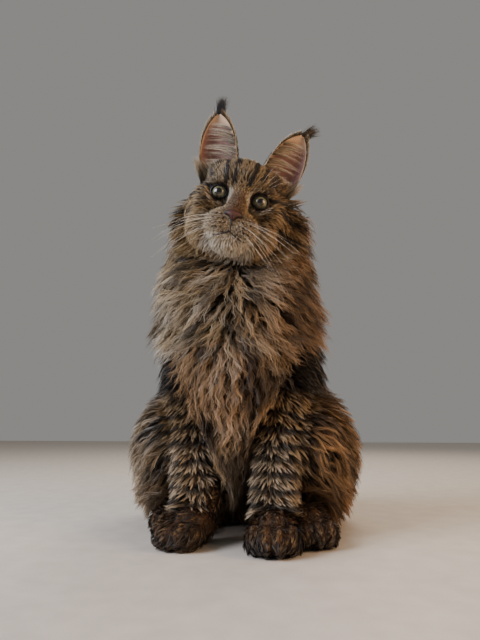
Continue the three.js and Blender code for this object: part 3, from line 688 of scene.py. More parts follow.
@dataclass(frozen=True)
class SkinFinish:
    """The short underfur and skin below the coat, with the same markings, one step darker."""

    name: str = "underfur_skin"
    ground: str = "6a5641"
    stripe: str = "1d1713"
    pale: str = "b9a88f"
    warm: str = "80512c"
    grain: float = 1.4
    stretch: Triple = (1.0, 1.0, 0.35)
    relief: tuple[float, float] = (0.5, 0.0006)

    def build(self) -> Material:
        """The finish as a material with a hair-fine bump."""
        made = Shading(self.name, {"Roughness": 0.75, "Specular IOR Level": 0.25})
        base: object = colour(self.ground)
        for mark, code in (("warm", self.warm), ("pale", self.pale), ("dark", self.stripe)):
            base = made.mixed(made.mark(mark), base, colour(code))
        drawn = made.add("ShaderNodeMapping", {"Vector": made.place(), "Scale": self.stretch})
        fibre = made.noise(drawn.outputs[0], 1 / (self.grain * MM), Detail=4.0)
        dim = made.ramp(fibre, ((0.3, "8a8a8a"), (0.7, "ffffff")))
        made.base(made.mixed(1.0, base, dim, "MULTIPLY"))
        made.bump(fibre, *self.relief)
        return made.material


@dataclass(frozen=True)
class EyeFinish:
    """A wet eye: a round pupil in a grey-green iris with radial fibres and a dark rim, under a clear cornea."""

    name: str = "wet_iris"
    pupil: float = 3.9
    iris: float = 9.3
    rings: Stops = ((0.42, "7d7350"), (0.55, "918f72"), (0.8, "82866c"), (0.92, "484a3b"), (1.0, "1c1914"))
    fibres: Stops = ((0.3, "8f8f8f"), (0.65, "ffffff"))
    hole: Stops = ((0.47, "050505"), (0.53, "ffffff"))

    def build(self) -> Material:
        """The finish as a material that reads each vertex's distance from the eye's axis."""
        made = Shading(self.name, {
            "Roughness": 0.22, "Coat Weight": 1.0, "Coat Roughness": 0.02, "Coat IOR": 1.45,
        })
        ring = made.mark("ring")
        spokes = made.reckon("MULTIPLY", made.mark("spoke"), 14.0)
        place = made.add("ShaderNodeCombineXYZ", {0: spokes, 1: made.reckon("MULTIPLY", ring, 0.5)})
        fibre = made.ramp(made.noise(place.outputs[0], 2.2, Detail=3.0), self.fibres)
        rings = made.ramp(made.reckon("DIVIDE", ring, self.iris), self.rings)
        hole = made.ramp(made.reckon("DIVIDE", ring, self.pupil * 2), self.hole)
        iris = made.mixed(1.0, rings, fibre, "MULTIPLY")
        made.base(made.mixed(1.0, iris, hole, "MULTIPLY"))
        return made.material


@dataclass(frozen=True)
class LeatherFinish:
    """Bare skin of a nose or lid: fine pebbled leather, slightly damp."""

    name: str
    middle: str
    rim: str
    grain: float
    roughness: float
    relief: tuple[float, float] = (0.35, 0.0003)

    def build(self) -> Material:
        """The finish as a material, darker where the attribute called rim says so."""
        made = Shading(self.name, {"Roughness": self.roughness})
        inputs = {"Vector": made.place(), "Scale": 1 / (self.grain * MM)}
        pebble = made.add("ShaderNodeTexVoronoi", inputs).outputs["Distance"]
        base = made.mixed(made.mark("rim"), colour(self.middle), colour(self.rim))
        dim = made.ramp(pebble, ((0.0, "ffffff"), (0.9, "9a9a9a")))
        made.base(made.mixed(1.0, base, dim, "MULTIPLY"))
        made.bump(pebble, *self.relief, invert=True)
        return made.material


@dataclass(frozen=True)
class EarFinish:
    """The thin skin of an ear: mauve-pink inside with fine veins, dark and velvety outside."""

    name: str = "ear_skin"
    inside: str = "9c766c"
    deep: str = "76504a"
    edge: str = "c0a283"
    outside: str = "2b231e"
    grain: float = 9.0

    def build(self) -> Material:
        """The finish as a material that reads which layer of the ear a place is on."""
        made = Shading(self.name, {
            "Roughness": 0.62, "Subsurface Weight": 0.06, "Subsurface Radius": (0.004, 0.002, 0.001),
        })
        vein = made.noise(made.place(), 1 / (self.grain * MM), Detail=5.0, Distortion=1.2)
        pink = made.mixed(vein, colour(self.inside), colour(self.deep))
        base = made.mixed(made.mark("inner"), colour(self.outside), pink)
        made.base(made.mixed(made.mark("rim"), base, colour(self.edge)))
        return made.material


@dataclass(frozen=True)
class WhiskerFinish:
    """A whisker is a thick white hair, glossy as nylon, that darkens a little to its root."""

    name: str = "white_whisker"
    shades: Stops = ((0.0, "6d6154"), (0.25, "e9e1d2"), (1.0, "e9e1d2"))

    def build(self) -> Material:
        """The finish as a material that reads how far along its whisker a place is."""
        made = Shading(self.name, {"Roughness": 0.3})
        made.base(made.ramp(made.mark("along"), self.shades))
        return made.material


@dataclass(frozen=True)
class FloorFinish:
    """A pale matt floor with the faintest grain."""

    name: str = "pale_matt_floor"
    shades: Stops = ((0.3, "c9c0b4"), (0.7, "d3cabe"))

    def build(self) -> Material:
        """The finish as a material."""
        made = Shading(self.name, {"Roughness": 0.7})
        made.base(made.ramp(made.noise(made.place(), 40.0), self.shades))
        return made.material


# Meshes

def unit(vectors: Array) -> Array:
    """Vectors at length 1."""
    return vectors / (np.linalg.norm(vectors, axis=-1, keepdims=True) + TINY)


def triples(x: Array | float, y: Array | float, z: Array | float) -> Array:
    """Vectors from their three coordinates, each of them a column or one number for all."""
    return np.stack(np.broadcast_arrays(x, y, z), axis=-1)


def deselect() -> None:
    """Leaves nothing selected and no edit mode open."""
    if bpy.context.object and bpy.context.object.mode != "OBJECT":
        bpy.ops.object.mode_set(mode="OBJECT")
    bpy.ops.object.select_all(action="DESELECT")


def select_only(objects: Sequence[Object]) -> None:
    """Selects these objects, the first one active."""
    deselect()
    for item in objects:
        item.select_set(True)
    bpy.context.view_layer.objects.active = objects[0]


def bake_down(item: Object, name: str, kind: str, **settings: object) -> None:
    """Adds a modifier to an object that is the active one, and applies it."""
    modifier = item.modifiers.new(name, kind)
    for key, value in settings.items():
        setattr(modifier, key, value)
    bpy.ops.object.modifier_apply(modifier=modifier.name)


def linked(name: str, data: bpy.types.ID) -> Object:
    """A new object of the scene round its data."""
    item = bpy.data.objects.new(name, data)
    bpy.context.scene.collection.objects.link(item)
    return item


def cover(item: Object, material: Material) -> None:
    """Gives a mesh one material and smooth shading."""
    item.data.materials.clear()
    item.data.materials.append(material)
    item.data.polygons.foreach_set("use_smooth", np.ones(len(item.data.polygons), bool))


def object_from(name: str, vertices: Array, faces: Sequence, material: Material) -> Object:
    """A smooth mesh object from points in millimetres."""
    mesh = bpy.data.meshes.new(name)
    mesh.from_pydata((vertices * MM).tolist(), [], [tuple(f) for f in faces])
    mesh.update()
    item = linked(name, mesh)
    cover(item, material)
    return item


def points_of(item: Object) -> Array:
    """A mesh's vertices in millimetres."""
    flat = np.empty(len(item.data.vertices) * 3)
    item.data.vertices.foreach_get("co", flat)
    return flat.reshape(-1, 3) / MM


def set_points(item: Object, points: Array) -> None:
    """Moves a mesh's vertices to points in millimetres."""
    item.data.vertices.foreach_set("co", (points * MM).ravel())
    item.data.update()


def set_attribute(item: Object, name: str, values: Array) -> None:
    """Keeps a value on each vertex."""
    layer = item.data.attributes.new(name, "FLOAT", "POINT")
    layer.data.foreach_set("value", np.ascontiguousarray(values, np.float32))


def unwrap(item: Object) -> None:
    """Unwraps a mesh into the map that its looks are baked to."""
    select_only([item])
    item.data.uv_layers.new(name=BAKE_MAP)
    bpy.ops.object.mode_set(mode="EDIT")
    bpy.ops.mesh.select_all(action="SELECT")
    bpy.ops.uv.smart_project(angle_limit=math.radians(66), island_margin=0.002)
    bpy.ops.object.mode_set(mode="OBJECT")
    deselect()


def dress(item: Object, nodes: Sequence[str] = ()) -> None:
    """Rides a piece on the body, hides the solids that it stands for, and logs how many vertices it has."""
    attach(item, BODY)
    if nodes:
        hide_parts(*nodes)
    log.info("%s: %d vertices", item.name, len(item.data.vertices))


def ring_faces(rings: int, sides: int) -> list[tuple[int, ...]]:
    """The faces between rings of vertices, each ring joined to the next."""
    faces = []
    for i in range(rings - 1):
        for j in range(sides):
            a, b = i * sides + j, i * sides + (j + 1) % sides
            faces.append((a, b, b + sides, a + sides))
    return faces


def tube(path: Array, radii: Array, sides: int) -> tuple[Array, list[tuple[int, ...]]]:
    """A closed tube round a path.

    Args:
        path: Points along the middle, in millimetres.
        radii: The radius at each of them.
        sides: How many sides it has.
    Returns:
        Its vertices and faces.
    """
    along = unit(np.gradient(path, axis=0))
    side = unit(np.cross(along, OFF_AXIS))
    over = np.cross(along, side)
    angle = np.linspace(0, 2 * np.pi, sides, endpoint=False)
    ring = side[:, None] * np.cos(angle)[None, :, None] + over[:, None] * np.sin(angle)[None, :, None]
    vertices = (path[:, None] + ring * radii[:, None, None]).reshape(-1, 3)
    last = (len(path) - 1) * sides
    ends = [tuple(range(sides - 1, -1, -1)), tuple(range(last, last + sides))]
    return vertices, ring_faces(len(path), sides) + ends


def joined_tubes(name: str, tubes: Sequence[tuple[Array, Array]], material: Material, sides: int) -> Object:
    """Several tubes as one object, with how far along its own tube each vertex lies."""
    vertices, faces, along = [], [], []
    count = 0
    for path, radii in tubes:
        made, sheets = tube(path, radii, sides)
        vertices.append(made)
        faces += [tuple(i + count for i in face) for face in sheets]
        along.append(np.repeat(np.linspace(0, 1, len(path)), sides))
        count += len(made)
    item = object_from(name, np.concatenate(vertices), faces, material)
    set_attribute(item, "along", np.concatenate(along))
    return item


@dataclass
class Skin:
    """One skin over all the flesh, pulled onto the blend of the muscles.

    The sizes are the voxel's, the longest pull of a pass, the height of the lowest skin, and the radius, depth
    and reach of the hollow that each eye sits in.
    """

    figure: Figure
    markings: Markings
    voxel: float = 2.7
    passes: int = 5
    ease: float = 0.85
    longest: float = 4.0
    lowest: float = 0.4
    opening: float = 9.4
    hollow: float = 9.9
    sunk: float = 1.2
    reach: float = 25.0

    def primitives(self) -> list[Object]:
        """A rough solid for each muscle, from spheres."""
        made = []
        for form in self.figure.forms:
            for muscle in form.muscles:
                if isinstance(muscle, Ball):
                    made.append(self.egg(form, muscle.centre, muscle.radii, muscle.turn))
                    continue
                start, end = np.array(muscle.start, float), np.array(muscle.end, float)
                steps = max(2, int(np.linalg.norm(end - start) / (0.5 * min(muscle.radii))) + 1)
                for t in np.linspace(0, 1, steps):
                    radius = muscle.radii[0] + (muscle.radii[1] - muscle.radii[0]) * t
                    made.append(self.egg(form, tuple(start + (end - start) * t), (radius,) * 3, (0, 0, 0)))
        return made

    def egg(self, form: Form, centre: Triple, radii: Triple, turn: Triple) -> Object:
        """One sphere, scaled and turned into its place."""
        bpy.ops.mesh.primitive_uv_sphere_add(segments=20, ring_count=12, radius=MM)
        item = bpy.context.object
        place = form.placing.out(np.array(centre, float)[None])[0] * MM
        rotation = form.placing.turn @ turn_matrix(*turn)
        scale = Matrix.Diagonal((*radii, 1.0))
        item.data.transform(Matrix.Translation(place) @ Matrix(rotation.tolist()).to_4x4() @ scale)
        return item

    def build(self, material: Material) -> Object:
        """The skin as one object."""
        deselect()
        select_only(self.primitives())
        bpy.ops.object.join()
        skin = bpy.context.object
        skin.name = skin.data.name = "skin"
        bake_down(skin, "whole", "REMESH", mode="VOXEL", voxel_size=self.voxel * MM)
        points = points_of(skin)
        for _ in range(self.passes):
            pull = np.clip(self.figure.distance(points), -self.longest, self.longest)
            points = points - pull[:, None] * self.figure.outward(points) * self.ease
        points[:, 2] = np.maximum(points[:, 2], self.lowest)
        points = self.open_eyes(points)
        set_points(skin, points)
        cover(skin, material)
        for name, values in self.markings.at(points).items():
            set_attribute(skin, name, values)
        unwrap(skin)
        return skin

    def open_eyes(self, points: Array) -> Array:
        """Sinks the skin behind the front of each eyeball."""
        for side in Side:
            placing = eye_placing(side)
            local = placing.into(points)
            off_axis = np.hypot(local[:, 0], local[:, 2])
            front = (off_axis < self.opening) & (local[:, 1] < 0) & (local[:, 1] > -self.reach)
            bowl = np.sqrt(np.maximum(self.hollow**2 - off_axis[front] ** 2, 0))
            local[front, 1] = self.sunk - bowl
            points[front] = placing.out(local[front])
        return points


# Hair

@dataclass
class Roots:
    """Where hairs stand: places in millimetres, directions out of the skin, places on its unwrap, and forms."""

    points: Array
    normals: Array
    unwrapped: Array
    form: Array


@dataclass
class Field:
    """Draws hair roots evenly over the skin."""

    figure: Figure
    skin: Object

    def __post_init__(self) -> None:
        """Reads the skin's triangles, their places on its unwrap, and the form that each is on."""
        mesh = self.skin.data
        mesh.calc_loop_triangles()
        count = len(mesh.loop_triangles)
        corners, loops = np.empty((2, count * 3), np.int64)
        mesh.loop_triangles.foreach_get("vertices", corners)
        mesh.loop_triangles.foreach_get("loops", loops)
        unwrapped = np.empty(len(mesh.loops) * 2)
        mesh.uv_layers[BAKE_MAP].data.foreach_get("uv", unwrapped)
        self.corners = points_of(self.skin)[corners.reshape(-1, 3)]
        self.unwrapped = unwrapped.reshape(-1, 2)[loops.reshape(-1, 3)]
        a, b, c = self.corners.transpose(1, 0, 2)
        self.areas = np.linalg.norm(np.cross(b - a, c - a), axis=1) / 2
        self.form = self.figure.nearest(self.corners.mean(axis=1))

    def draw(self, count: int, wanted: Array, random: Random) -> Roots:
        """Roots spread by area over the triangles that a weight picks."""
        weight = self.areas * wanted
        picked = random.choice(len(weight), count, p=weight / weight.sum())
        u, v = random.random((2, count))
        over = u + v > 1
        u[over], v[over] = 1 - u[over], 1 - v[over]
        share = np.stack([1 - u - v, u, v], axis=1)[:, :, None]
        points = (self.corners[picked] * share).sum(axis=1)
        unwrapped = (self.unwrapped[picked] * share).sum(axis=1)
        return Roots(points, self.figure.outward(points), unwrapped, self.form[picked])


def even(points: Array) -> Array:
    """1 at every place."""
    return np.ones(len(points))


@dataclass
class Coat:
    """One part of the coat: how long, deep and wavy it is, how it clumps, and which way it lies.

    Its count is of hairs, and its length, width and wavelength are in millimetres. The reach is the share of the
    coat's depth that it fills, least is the least depth, joints are the points of a hair, spread and wave turn
    the locks, frizz loosens the hairs, hang lets them fall below an overhang, and short scales their length.
    """

    name: str
    count: int
    length: float
    reach: float
    lie: Lie
    wanted: Lie
    slot: str = "coat"
    width: float = 0.9
    per_lock: float = 14.0
    clump: float = 0.75
    wave: float = 0.0
    wavelength: float = 30.0
    joints: int = 6
    spread: float = 0.25
    least: float = 0.8
    frizz: float = 0.035
    hang: float = 0.0
    short: Callable[[Array], Array] = even

    def guides(self, figure: Figure, roots: Roots, random: Random) -> Array:
        """The middle lines of the locks.

        Args:
            figure: The body that they lie on.
            roots: The locks' own roots.
            random: Where the draws come from.
        Returns:
            Points, lock by lock, in millimetres.
        """
        count = len(roots.points)
        short = self.short(roots.points)
        depth = np.maximum(-figure.distance(roots.points, 1.0), self.least) * self.reach
        depth = depth * random.uniform(0.75, 1.12, count)
        length = self.length * random.uniform(0.7, 1.15, count)
        length = length * np.clip(0.45 + depth / (0.4 * self.length + 1e-6), 0.4, 1.0) * short
        depth = depth * np.minimum(1, 0.35 + short)
        phase = random.uniform(0, 2 * np.pi, count)
        swing = random.normal(0, self.spread, count)
        here = roots.points.copy()
        path = [here.copy()]
        for i in range(1, self.joints):
            t = i / (self.joints - 1)
            normal = figure.outward(here)
            fall = unit(self.lie(here, normal))
            way = unit(fall - (fall * normal).sum(1, keepdims=True) * normal)
            hang = self.hang * rise(0.05, -0.5, normal[:, 2])[:, None]
            way = unit(way * (1 - hang) + fall * hang)
            turn = swing + self.wave * np.sin(phase + 2 * np.pi * t * length / self.wavelength)
            way = unit(way + turn[:, None] * np.cross(way, normal))
            here = here + way * (length / (self.joints - 1))[:, None]
            lift = (depth * t**0.7 - figure.distance(here))[:, None]
            here = here + figure.outward(here) * np.where(lift < 0, lift * (1 - hang), lift)
            here[:, 2] = np.maximum(here[:, 2], LOWEST_LOCK)
            path.append(here.copy())
        return np.stack(path, axis=1)

    def hairs(self, figure: Figure, roots: Roots, locks: Roots, random: Random) -> tuple[Array, Array]:
        """The hairs' own lines, each drawn to the lock whose root is nearest.

        Args:
            figure: The body that they lie on.
            roots: The hairs' roots.
            locks: The locks' roots.
            random: Where the draws come from.
        Returns:
            Points, hair by hair, in millimetres, and each hair's lock.
        """
        guides = self.guides(figure, locks, random)
        tree = kdtree.KDTree(len(locks.points))
        for i, point in enumerate(locks.points):
            tree.insert(point, i)
        tree.balance()
        own = np.array([tree.find(point)[1] for point in roots.points])
        reach = 1 - 0.5 * random.random(self.count) ** 2
        t = np.linspace(0, 1, self.joints)
        place = t[None, :] * reach[:, None] * (self.joints - 1)
        low = np.minimum(place.astype(int), self.joints - 2)
        part = (place - low)[:, :, None]
        line = guides[own]
        path = np.take_along_axis(line, low[:, :, None], 1) * (1 - part)
        path = path + np.take_along_axis(line, low[:, :, None] + 1, 1) * part
        apart = roots.points - locks.points[own]
        loose = 1 - self.clump * np.minimum(t[None, :] * 1.25, 1) ** 0.8
        path = path + apart[:, None, :] * loose[:, :, None]
        fray = random.normal(0, 0.5 * self.frizz * self.length, (self.count, 3))
        path = path + fray[:, None, :] * (t**1.4)[None, :, None]
        curl = unit(random.normal(0, 1, (self.count, 3))) * self.frizz * self.length
        turn = np.sin(random.uniform(0, 6.3, self.count)[:, None] + 6.3 * t[None, :] * self.length / self.wavelength)
        path = path + curl[:, None, :] * (turn * t[None, :] ** 0.7)[:, :, None]
        path[:, :, 2] = np.maximum(path[:, :, 2], LOWEST_HAIR)
        return path, own

    def build(self, figure: Figure, field: Field, markings: Markings, material: Material, seed: int) -> None:
        """The hairs as one mesh of tapered ribbons, gathered into locks.

        Args:
            figure: The body that they lie on.
            field: Where their roots are drawn from.
            markings: The pattern that each hair keeps.
            material: Their finish.
            seed: Where the draws start.
        """
        random = np.random.default_rng(seed)
        wanted = self.wanted(field.corners.mean(axis=1), field.form)
        roots = field.draw(self.count, wanted, random)
        locks = field.draw(max(int(self.count / self.per_lock), FEWEST_LOCKS), wanted, random)
        path, own = self.hairs(figure, roots, locks, random)
        marks = markings.at(path[:, round(MARKED_AT * (self.joints - 1))], roots.form)
        lock_tone = random.uniform(0, 1, len(locks.points))[own]
        marks["tone"] = np.clip(0.55 * lock_tone + 0.45 * random.random(self.count), 0, 1)
        dress(ribbons(self.name, path, self.width, roots, marks, material, random))


def ribbons(
    name: str, path: Array, width: float, roots: Roots, marks: dict[str, Array], material: Material, random: Random
) -> Object:
    """Tapered ribbons along paths.

    Args:
        name: The piece's name.
        path: Points, hair by hair, in millimetres.
        width: The width near the root.
        roots: The hairs' roots.
        marks: Values to keep on each hair.
        material: The hair's finish.
        random: Where the draws come from.
    Returns:
        One mesh, each hair with its own small patch of the skin's unwrap.
    """
    count, joints = path.shape[:2]
    along = unit(np.gradient(path, axis=1))
    side = unit(np.cross(along, roots.normals[:, None, :]))
    over = np.cross(side, along)
    roll = random.uniform(-0.9, 0.9, count)[:, None, None]
    side = side * np.cos(roll) + over * np.sin(roll)
    t = np.linspace(0, 1, joints)
    taper = (0.75 + 0.6 * t - 1.2 * t**2)[None, :, None] * 0.5 * width
    taper = taper * random.uniform(0.7, 1.3, count)[:, None, None]
    left = path[:, :-1] - (side * taper)[:, :-1]
    right = path[:, :-1] + (side * taper)[:, :-1]
    pairs = np.stack([left, right], axis=2).reshape(count, -1, 3)
    vertices = np.concatenate([pairs, path[:, -1:]], axis=1)
    each = vertices.shape[1]
    faces = []
    for i in range(0, 2 * joints - 4, 2):
        faces += [(i, i + 1, i + 3), (i, i + 3, i + 2)]
    faces.append((each - 3, each - 2, each - 1))
    index = (np.arange(count)[:, None, None] * each + np.array(faces)[None]).reshape(-1)
    mesh = bpy.data.meshes.new(name)
    mesh.vertices.add(count * each)
    mesh.vertices.foreach_set("co", (vertices.reshape(-1, 3) * MM).astype(np.float32).ravel())
    mesh.loops.add(len(index))
    mesh.loops.foreach_set("vertex_index", index.astype(np.int32))
    mesh.polygons.add(len(index) // 3)
    mesh.polygons.foreach_set("loop_start", np.arange(0, len(index), 3, dtype=np.int32))
    mesh.update(calc_edges=True)
    item = linked(name, mesh)
    cover(item, material)
    row = np.append(np.repeat(t[:-1], 2), 1.0)
    across = np.append(np.tile([0.0, 1.0], joints - 1), 0.5)
    for key, values in marks.items():
        set_attribute(item, key, np.repeat(values, each))
    set_attribute(item, "along", np.tile(row, count))
    patch = np.stack([across - 0.5, row - 0.5], axis=1) * PATCH
    places = np.clip(roots.unwrapped[:, None, :] + patch[None], 0, 1).reshape(-1, 2)
    layer = mesh.uv_layers.new(name=BAKE_MAP)
    layer.data.foreach_set("uv", places[index].astype(np.float32).ravel())
    return item


# Which way the coat lies

def from_nose(points: Array, normals: Array) -> Array:
    """The face's hair runs away from the nose and round the eyes, and down at the sides."""
    local = HEAD.into(points)
    way = unit(local - np.array(PARTING))
    way[:, 2] -= 1.5 * rise(8, 40, local[:, 1])
    way[:, 2] -= 0.026 * np.abs(local[:, 0]) * rise(18, -6, local[:, 2]) * rise(-45, -20, local[:, 1])
    for side in Side:
        off = local - np.array(EYE_AT) * [side.value, 1, 1]
        far = np.linalg.norm(off, axis=1)
        way = way + unit(off) * (2.4 * np.exp(-(((far - 8) / 7) ** 2)))[:, None]
    return HEAD.direct(unit(way))


def ruff_lie(points: Array, normals: Array) -> Array:
    """The ruff falls and spreads from the cheeks."""
    x, y, z = points.T
    out = 1.25 * np.tanh((x - 3) / 32) * rise(235, 262, z) + 0.8 * np.tanh((x - 3) / 45) * rise(262, 235, z)
    return triples(out, np.where(y > -80, 0.5, -0.05), -0.8)


def chest_lie(points: Array, normals: Array) -> Array:
    """The chest's hair falls and draws in between the forelegs."""
    x, z = points[:, 0], points[:, 2]
    out = 0.75 * np.tanh(x / 26) * rise(165, 215, z) - 0.25 * np.tanh(x / 16) * rise(165, 130, z)
    return triples(out, -0.08, -1.0)


def side_lie(out: float, back: float) -> Lie:
    """A lie that falls outwards and backwards on both sides."""
    def way(points: Array, normals: Array) -> Array:
        """The lie at some places."""
        flare = out * np.tanh(points[:, 0] / 40) * (1 + 0.9 * rise(-20, -80, points[:, 1]))
        return triples(flare, back, -1.0)
    return way


def tail_lie(points: Array, normals: Array) -> Array:
    """The tail's hair runs to its tip and out to its sides."""
    path = np.array(TAIL_PATH, float)
    middle = (path[1:] + path[:-1]) / 2
    weight = np.exp(-np.linalg.norm(points[:, None, :] - middle[None], axis=2) / 18)
    way = unit(path[1:] - path[:-1])
    along = (weight[:, :, None] * way[None]).sum(1) / weight.sum(1, keepdims=True)
    return unit(along) + 0.35 * normals * np.array([1, 1, 0])


def paw_lie(figure: Figure) -> Lie:
    """A paw's hair runs to its toes and down."""
    def way(points: Array, normals: Array) -> Array:
        """The lie at some places, in each paw's own frame."""
        form = figure.nearest(points)
        made = np.tile(np.array([0.0, -0.8, -0.6]), (len(points), 1))
        for i in figure.index("forepaw") + figure.index("hindpaw"):
            made[form == i] = figure.forms[i].placing.direct(np.array([[0.0, -0.9, -0.5]]))[0]
        return made
    return way


# Where the coat grows

def from_eyes(points: Array, scale: Triple = (1, 1, 1)) -> Array:
    """How far places are from the nearer eye's centre, in its own frame and scaled along its axes."""
    return np.minimum(*(np.linalg.norm(eye_placing(side).into(points) * scale, axis=1) for side in Side))


def face_roots(points: Array) -> Array:
    """The front of the head, without the eyes and the nose, and thicker on the muzzle."""
    local = HEAD.into(points)
    nose = np.linalg.norm((local - np.array(NOSE_AT)) / np.array([10.5, 9, 6.5]), axis=1)
    bare = (from_eyes(points, (1, 0.4, 1.1)) > 10.4) * (nose > 1.05)
    return (local[:, 1] < 22) * bare * (1 + 1.4 * (local[:, 1] < -30))


def face_length(points: Array) -> Array:
    """Short on the muzzle and by the eyes, long on the crown and the outer cheeks."""
    x, y, z = HEAD.into(points).T
    wide = np.abs(x)
    muzzle = rise(-34, -50, y) * rise(22, 0, z)
    chin = rise(-47, -52, z)
    crown = rise(34, 46, z) + rise(26, 36, wide) * rise(14, 24, z)
    outer = rise(26, 46, wide) * rise(14, -8, z)
    long = 0.8 * crown + 1.5 * outer
    near_eye = rise(22, 12, from_eyes(points))
    return np.clip(1 - 0.62 * muzzle * (1 - chin) - 0.5 * near_eye + long, 0.3, 2.4)


def scalp_roots(points: Array) -> Array:
    """The back half of the head."""
    return (HEAD.into(points)[:, 1] >= 8) * 1.0


def scalp_length(points: Array) -> Array:
    """Longer to the nape."""
    return 1 + 1.1 * rise(16, 42, HEAD.into(points)[:, 1])


def cheek_roots(points: Array) -> Array:
    """The outer cheeks, below the ears."""
    x, y, z = HEAD.into(points).T
    return rise(30, 40, np.abs(x)) * rise(6, -6, z) * rise(-30, -16, y)


def coats(figure: Figure) -> list[Coat]:
    """Every part of the coat over the skin, by the form that it grows on."""
    def on(*prefixes: str, where: Callable[[Array], Array] = even) -> Lie:
        """A weight for roots: on these forms, at the outside of the figure, times one more weight."""
        places = [i for prefix in prefixes for i in figure.index(prefix)]
        return lambda points, form: np.isin(form, places) * figure.outside(points) * where(points) + 1e-12

    front = {"per_lock": 9, "clump": 0.82, "wavelength": 26, "joints": 8, "frizz": 0.045, "width": 0.85}
    flank = {"per_lock": 13, "clump": 0.8, "wave": 0.4, "wavelength": 32, "hang": 0.85}
    made = [
        Coat(
            "coat_face", 31000, 8, 1.0, from_nose, on("head", where=face_roots),
            width=0.5, per_lock=5, clump=0.35, joints=4, least=1.0, short=face_length,
        ),
        Coat(
            "coat_scalp", 8000, 16, 1.1, from_nose, on("head", where=scalp_roots),
            width=0.8, per_lock=7, clump=0.6, joints=4, least=2.2, hang=0.6, short=scalp_length,
        ),
        Coat(
            "coat_cheeks", 7500, 28, 1.15, from_nose, on("head", where=cheek_roots),
            width=0.75, per_lock=10, wave=0.25, least=5, hang=0.5,
        ),
        Coat(
            "coat_paws", 18000, 8, 1.0, paw_lie(figure), on("forepaw", "hindpaw"), "paw",
            width=0.75, per_lock=8, clump=0.6, joints=4, least=1.6,
        ),
        Coat("coat_chest", 11000, 50, 1.0, chest_lie, on("chest"), "ruff", wave=0.75, **front),
        Coat("coat_tail", 11000, 58, 1.0, tail_lie, on("tail"), "tail", width=1.1, wave=0.25),
    ]
    halves = {Side.LEFT: lambda p: (p[:, 0] >= 0) * 1.0, Side.RIGHT: lambda p: (p[:, 0] < 0) * 1.0}
    for side, half in halves.items():
        word = "_" + side.word
        ruff, torso = on("neck", where=half), on("torso", where=half)
        thigh, foreleg = on("thigh" + word), on("foreleg" + word)
        made += [
            Coat("coat_ruff" + word, 11000, 62, 1.0, ruff_lie, ruff, "ruff", wave=0.7, hang=0.85, **front),
            Coat("coat_torso" + word, 13000, 52, 1.0, side_lie(0.45, 0.35), torso, width=1.15, **flank),
            Coat("coat_thigh" + word, 12000, 50, 1.0, side_lie(0.55, 0.3), thigh, width=1.1, **flank),
            Coat(
                "coat_foreleg" + word, 13000, 14, 1.0, side_lie(0.12, 0.05), foreleg, "leg",
                width=0.75, per_lock=6, clump=0.6, wave=0.15, joints=5,
            ),
        ]
    return made


# Head pieces

@dataclass
class Eyes:
    """Eyeballs with a bulging cornea, and the dark lids round them, each lid from rows of scale and radius."""

    cornea: float = 8.2
    forward: float = 3.6
    half_width: float = 8.9
    half_height: float = 7.1
    slant: float = 10.0
    turns: int = 64
    thickness: float = 0.5
    rows: tuple[tuple[float, float], ...] = (
        (0.97, 10.6), (0.985, 11.6), (1.02, 12.1), (1.08, 12.3), (1.18, 12.0), (1.34, 10.6),
    )

    def ball(self, side: Side, material: Material) -> None:
        """One eyeball, as a fine sphere pushed out over the iris."""
        deselect()
        bpy.ops.mesh.primitive_uv_sphere_add(segments=64, ring_count=48, radius=EYE_RADIUS * MM)
        item = bpy.context.object
        item.name = item.data.name = "eyeball_" + side.word
        item.data.transform(Matrix.Rotation(math.pi / 2, 4, "X"))
        way = unit(points_of(item))
        forward = -way[:, 1] * self.forward
        dome = forward + np.sqrt(np.maximum(self.cornea**2 - self.forward**2 + forward**2, 0))
        size = -soft_minimum(-dome, np.full(len(way), -EYE_RADIUS), 0.8)
        local = way * size[:, None]
        set_attribute(item, "ring", np.hypot(local[:, 0], local[:, 2]) + BEHIND * (local[:, 1] > 0))
        set_attribute(item, "spoke", np.arctan2(local[:, 2], local[:, 0]))
        set_points(item, eye_placing(side).out(local))
        cover(item, material)
        dress(item, ["eye_" + side.word])

    def lids(self, side: Side, material: Material) -> None:
        """The rim of one eye: a rolled margin on the eyeball that runs out under the fur."""
        angle = np.linspace(0, 2 * np.pi, self.turns, endpoint=False)
        slant = math.radians(self.slant) * side.value
        cos, sin = math.cos(slant), math.sin(slant)
        x = self.half_width * np.cos(angle)
        z = self.half_height * np.sin(angle) * (1 - 0.16 * np.cos(angle) ** 2)
        outline = np.stack([x * cos - z * sin, x * sin + z * cos], axis=1)
        rows = []
        for scale, radius in self.rows:
            flat = outline * scale
            dome = np.sqrt(np.maximum(radius**2 - (flat**2).sum(1) * 0.8, 9))
            rows.append(triples(flat[:, 0], -dome, flat[:, 1]))
        faces = [(a, d, c, b) for a, b, c, d in ring_faces(len(rows), self.turns)]
        placed = eye_placing(side).out(np.concatenate(rows))
        item = object_from("lids_" + side.word, placed, faces, material)
        set_attribute(item, "rim", np.repeat(np.linspace(1, 0.6, len(rows)), self.turns))
        select_only([item])
        bake_down(item, "thickness", "SOLIDIFY", thickness=self.thickness * MM)
        dress(item)


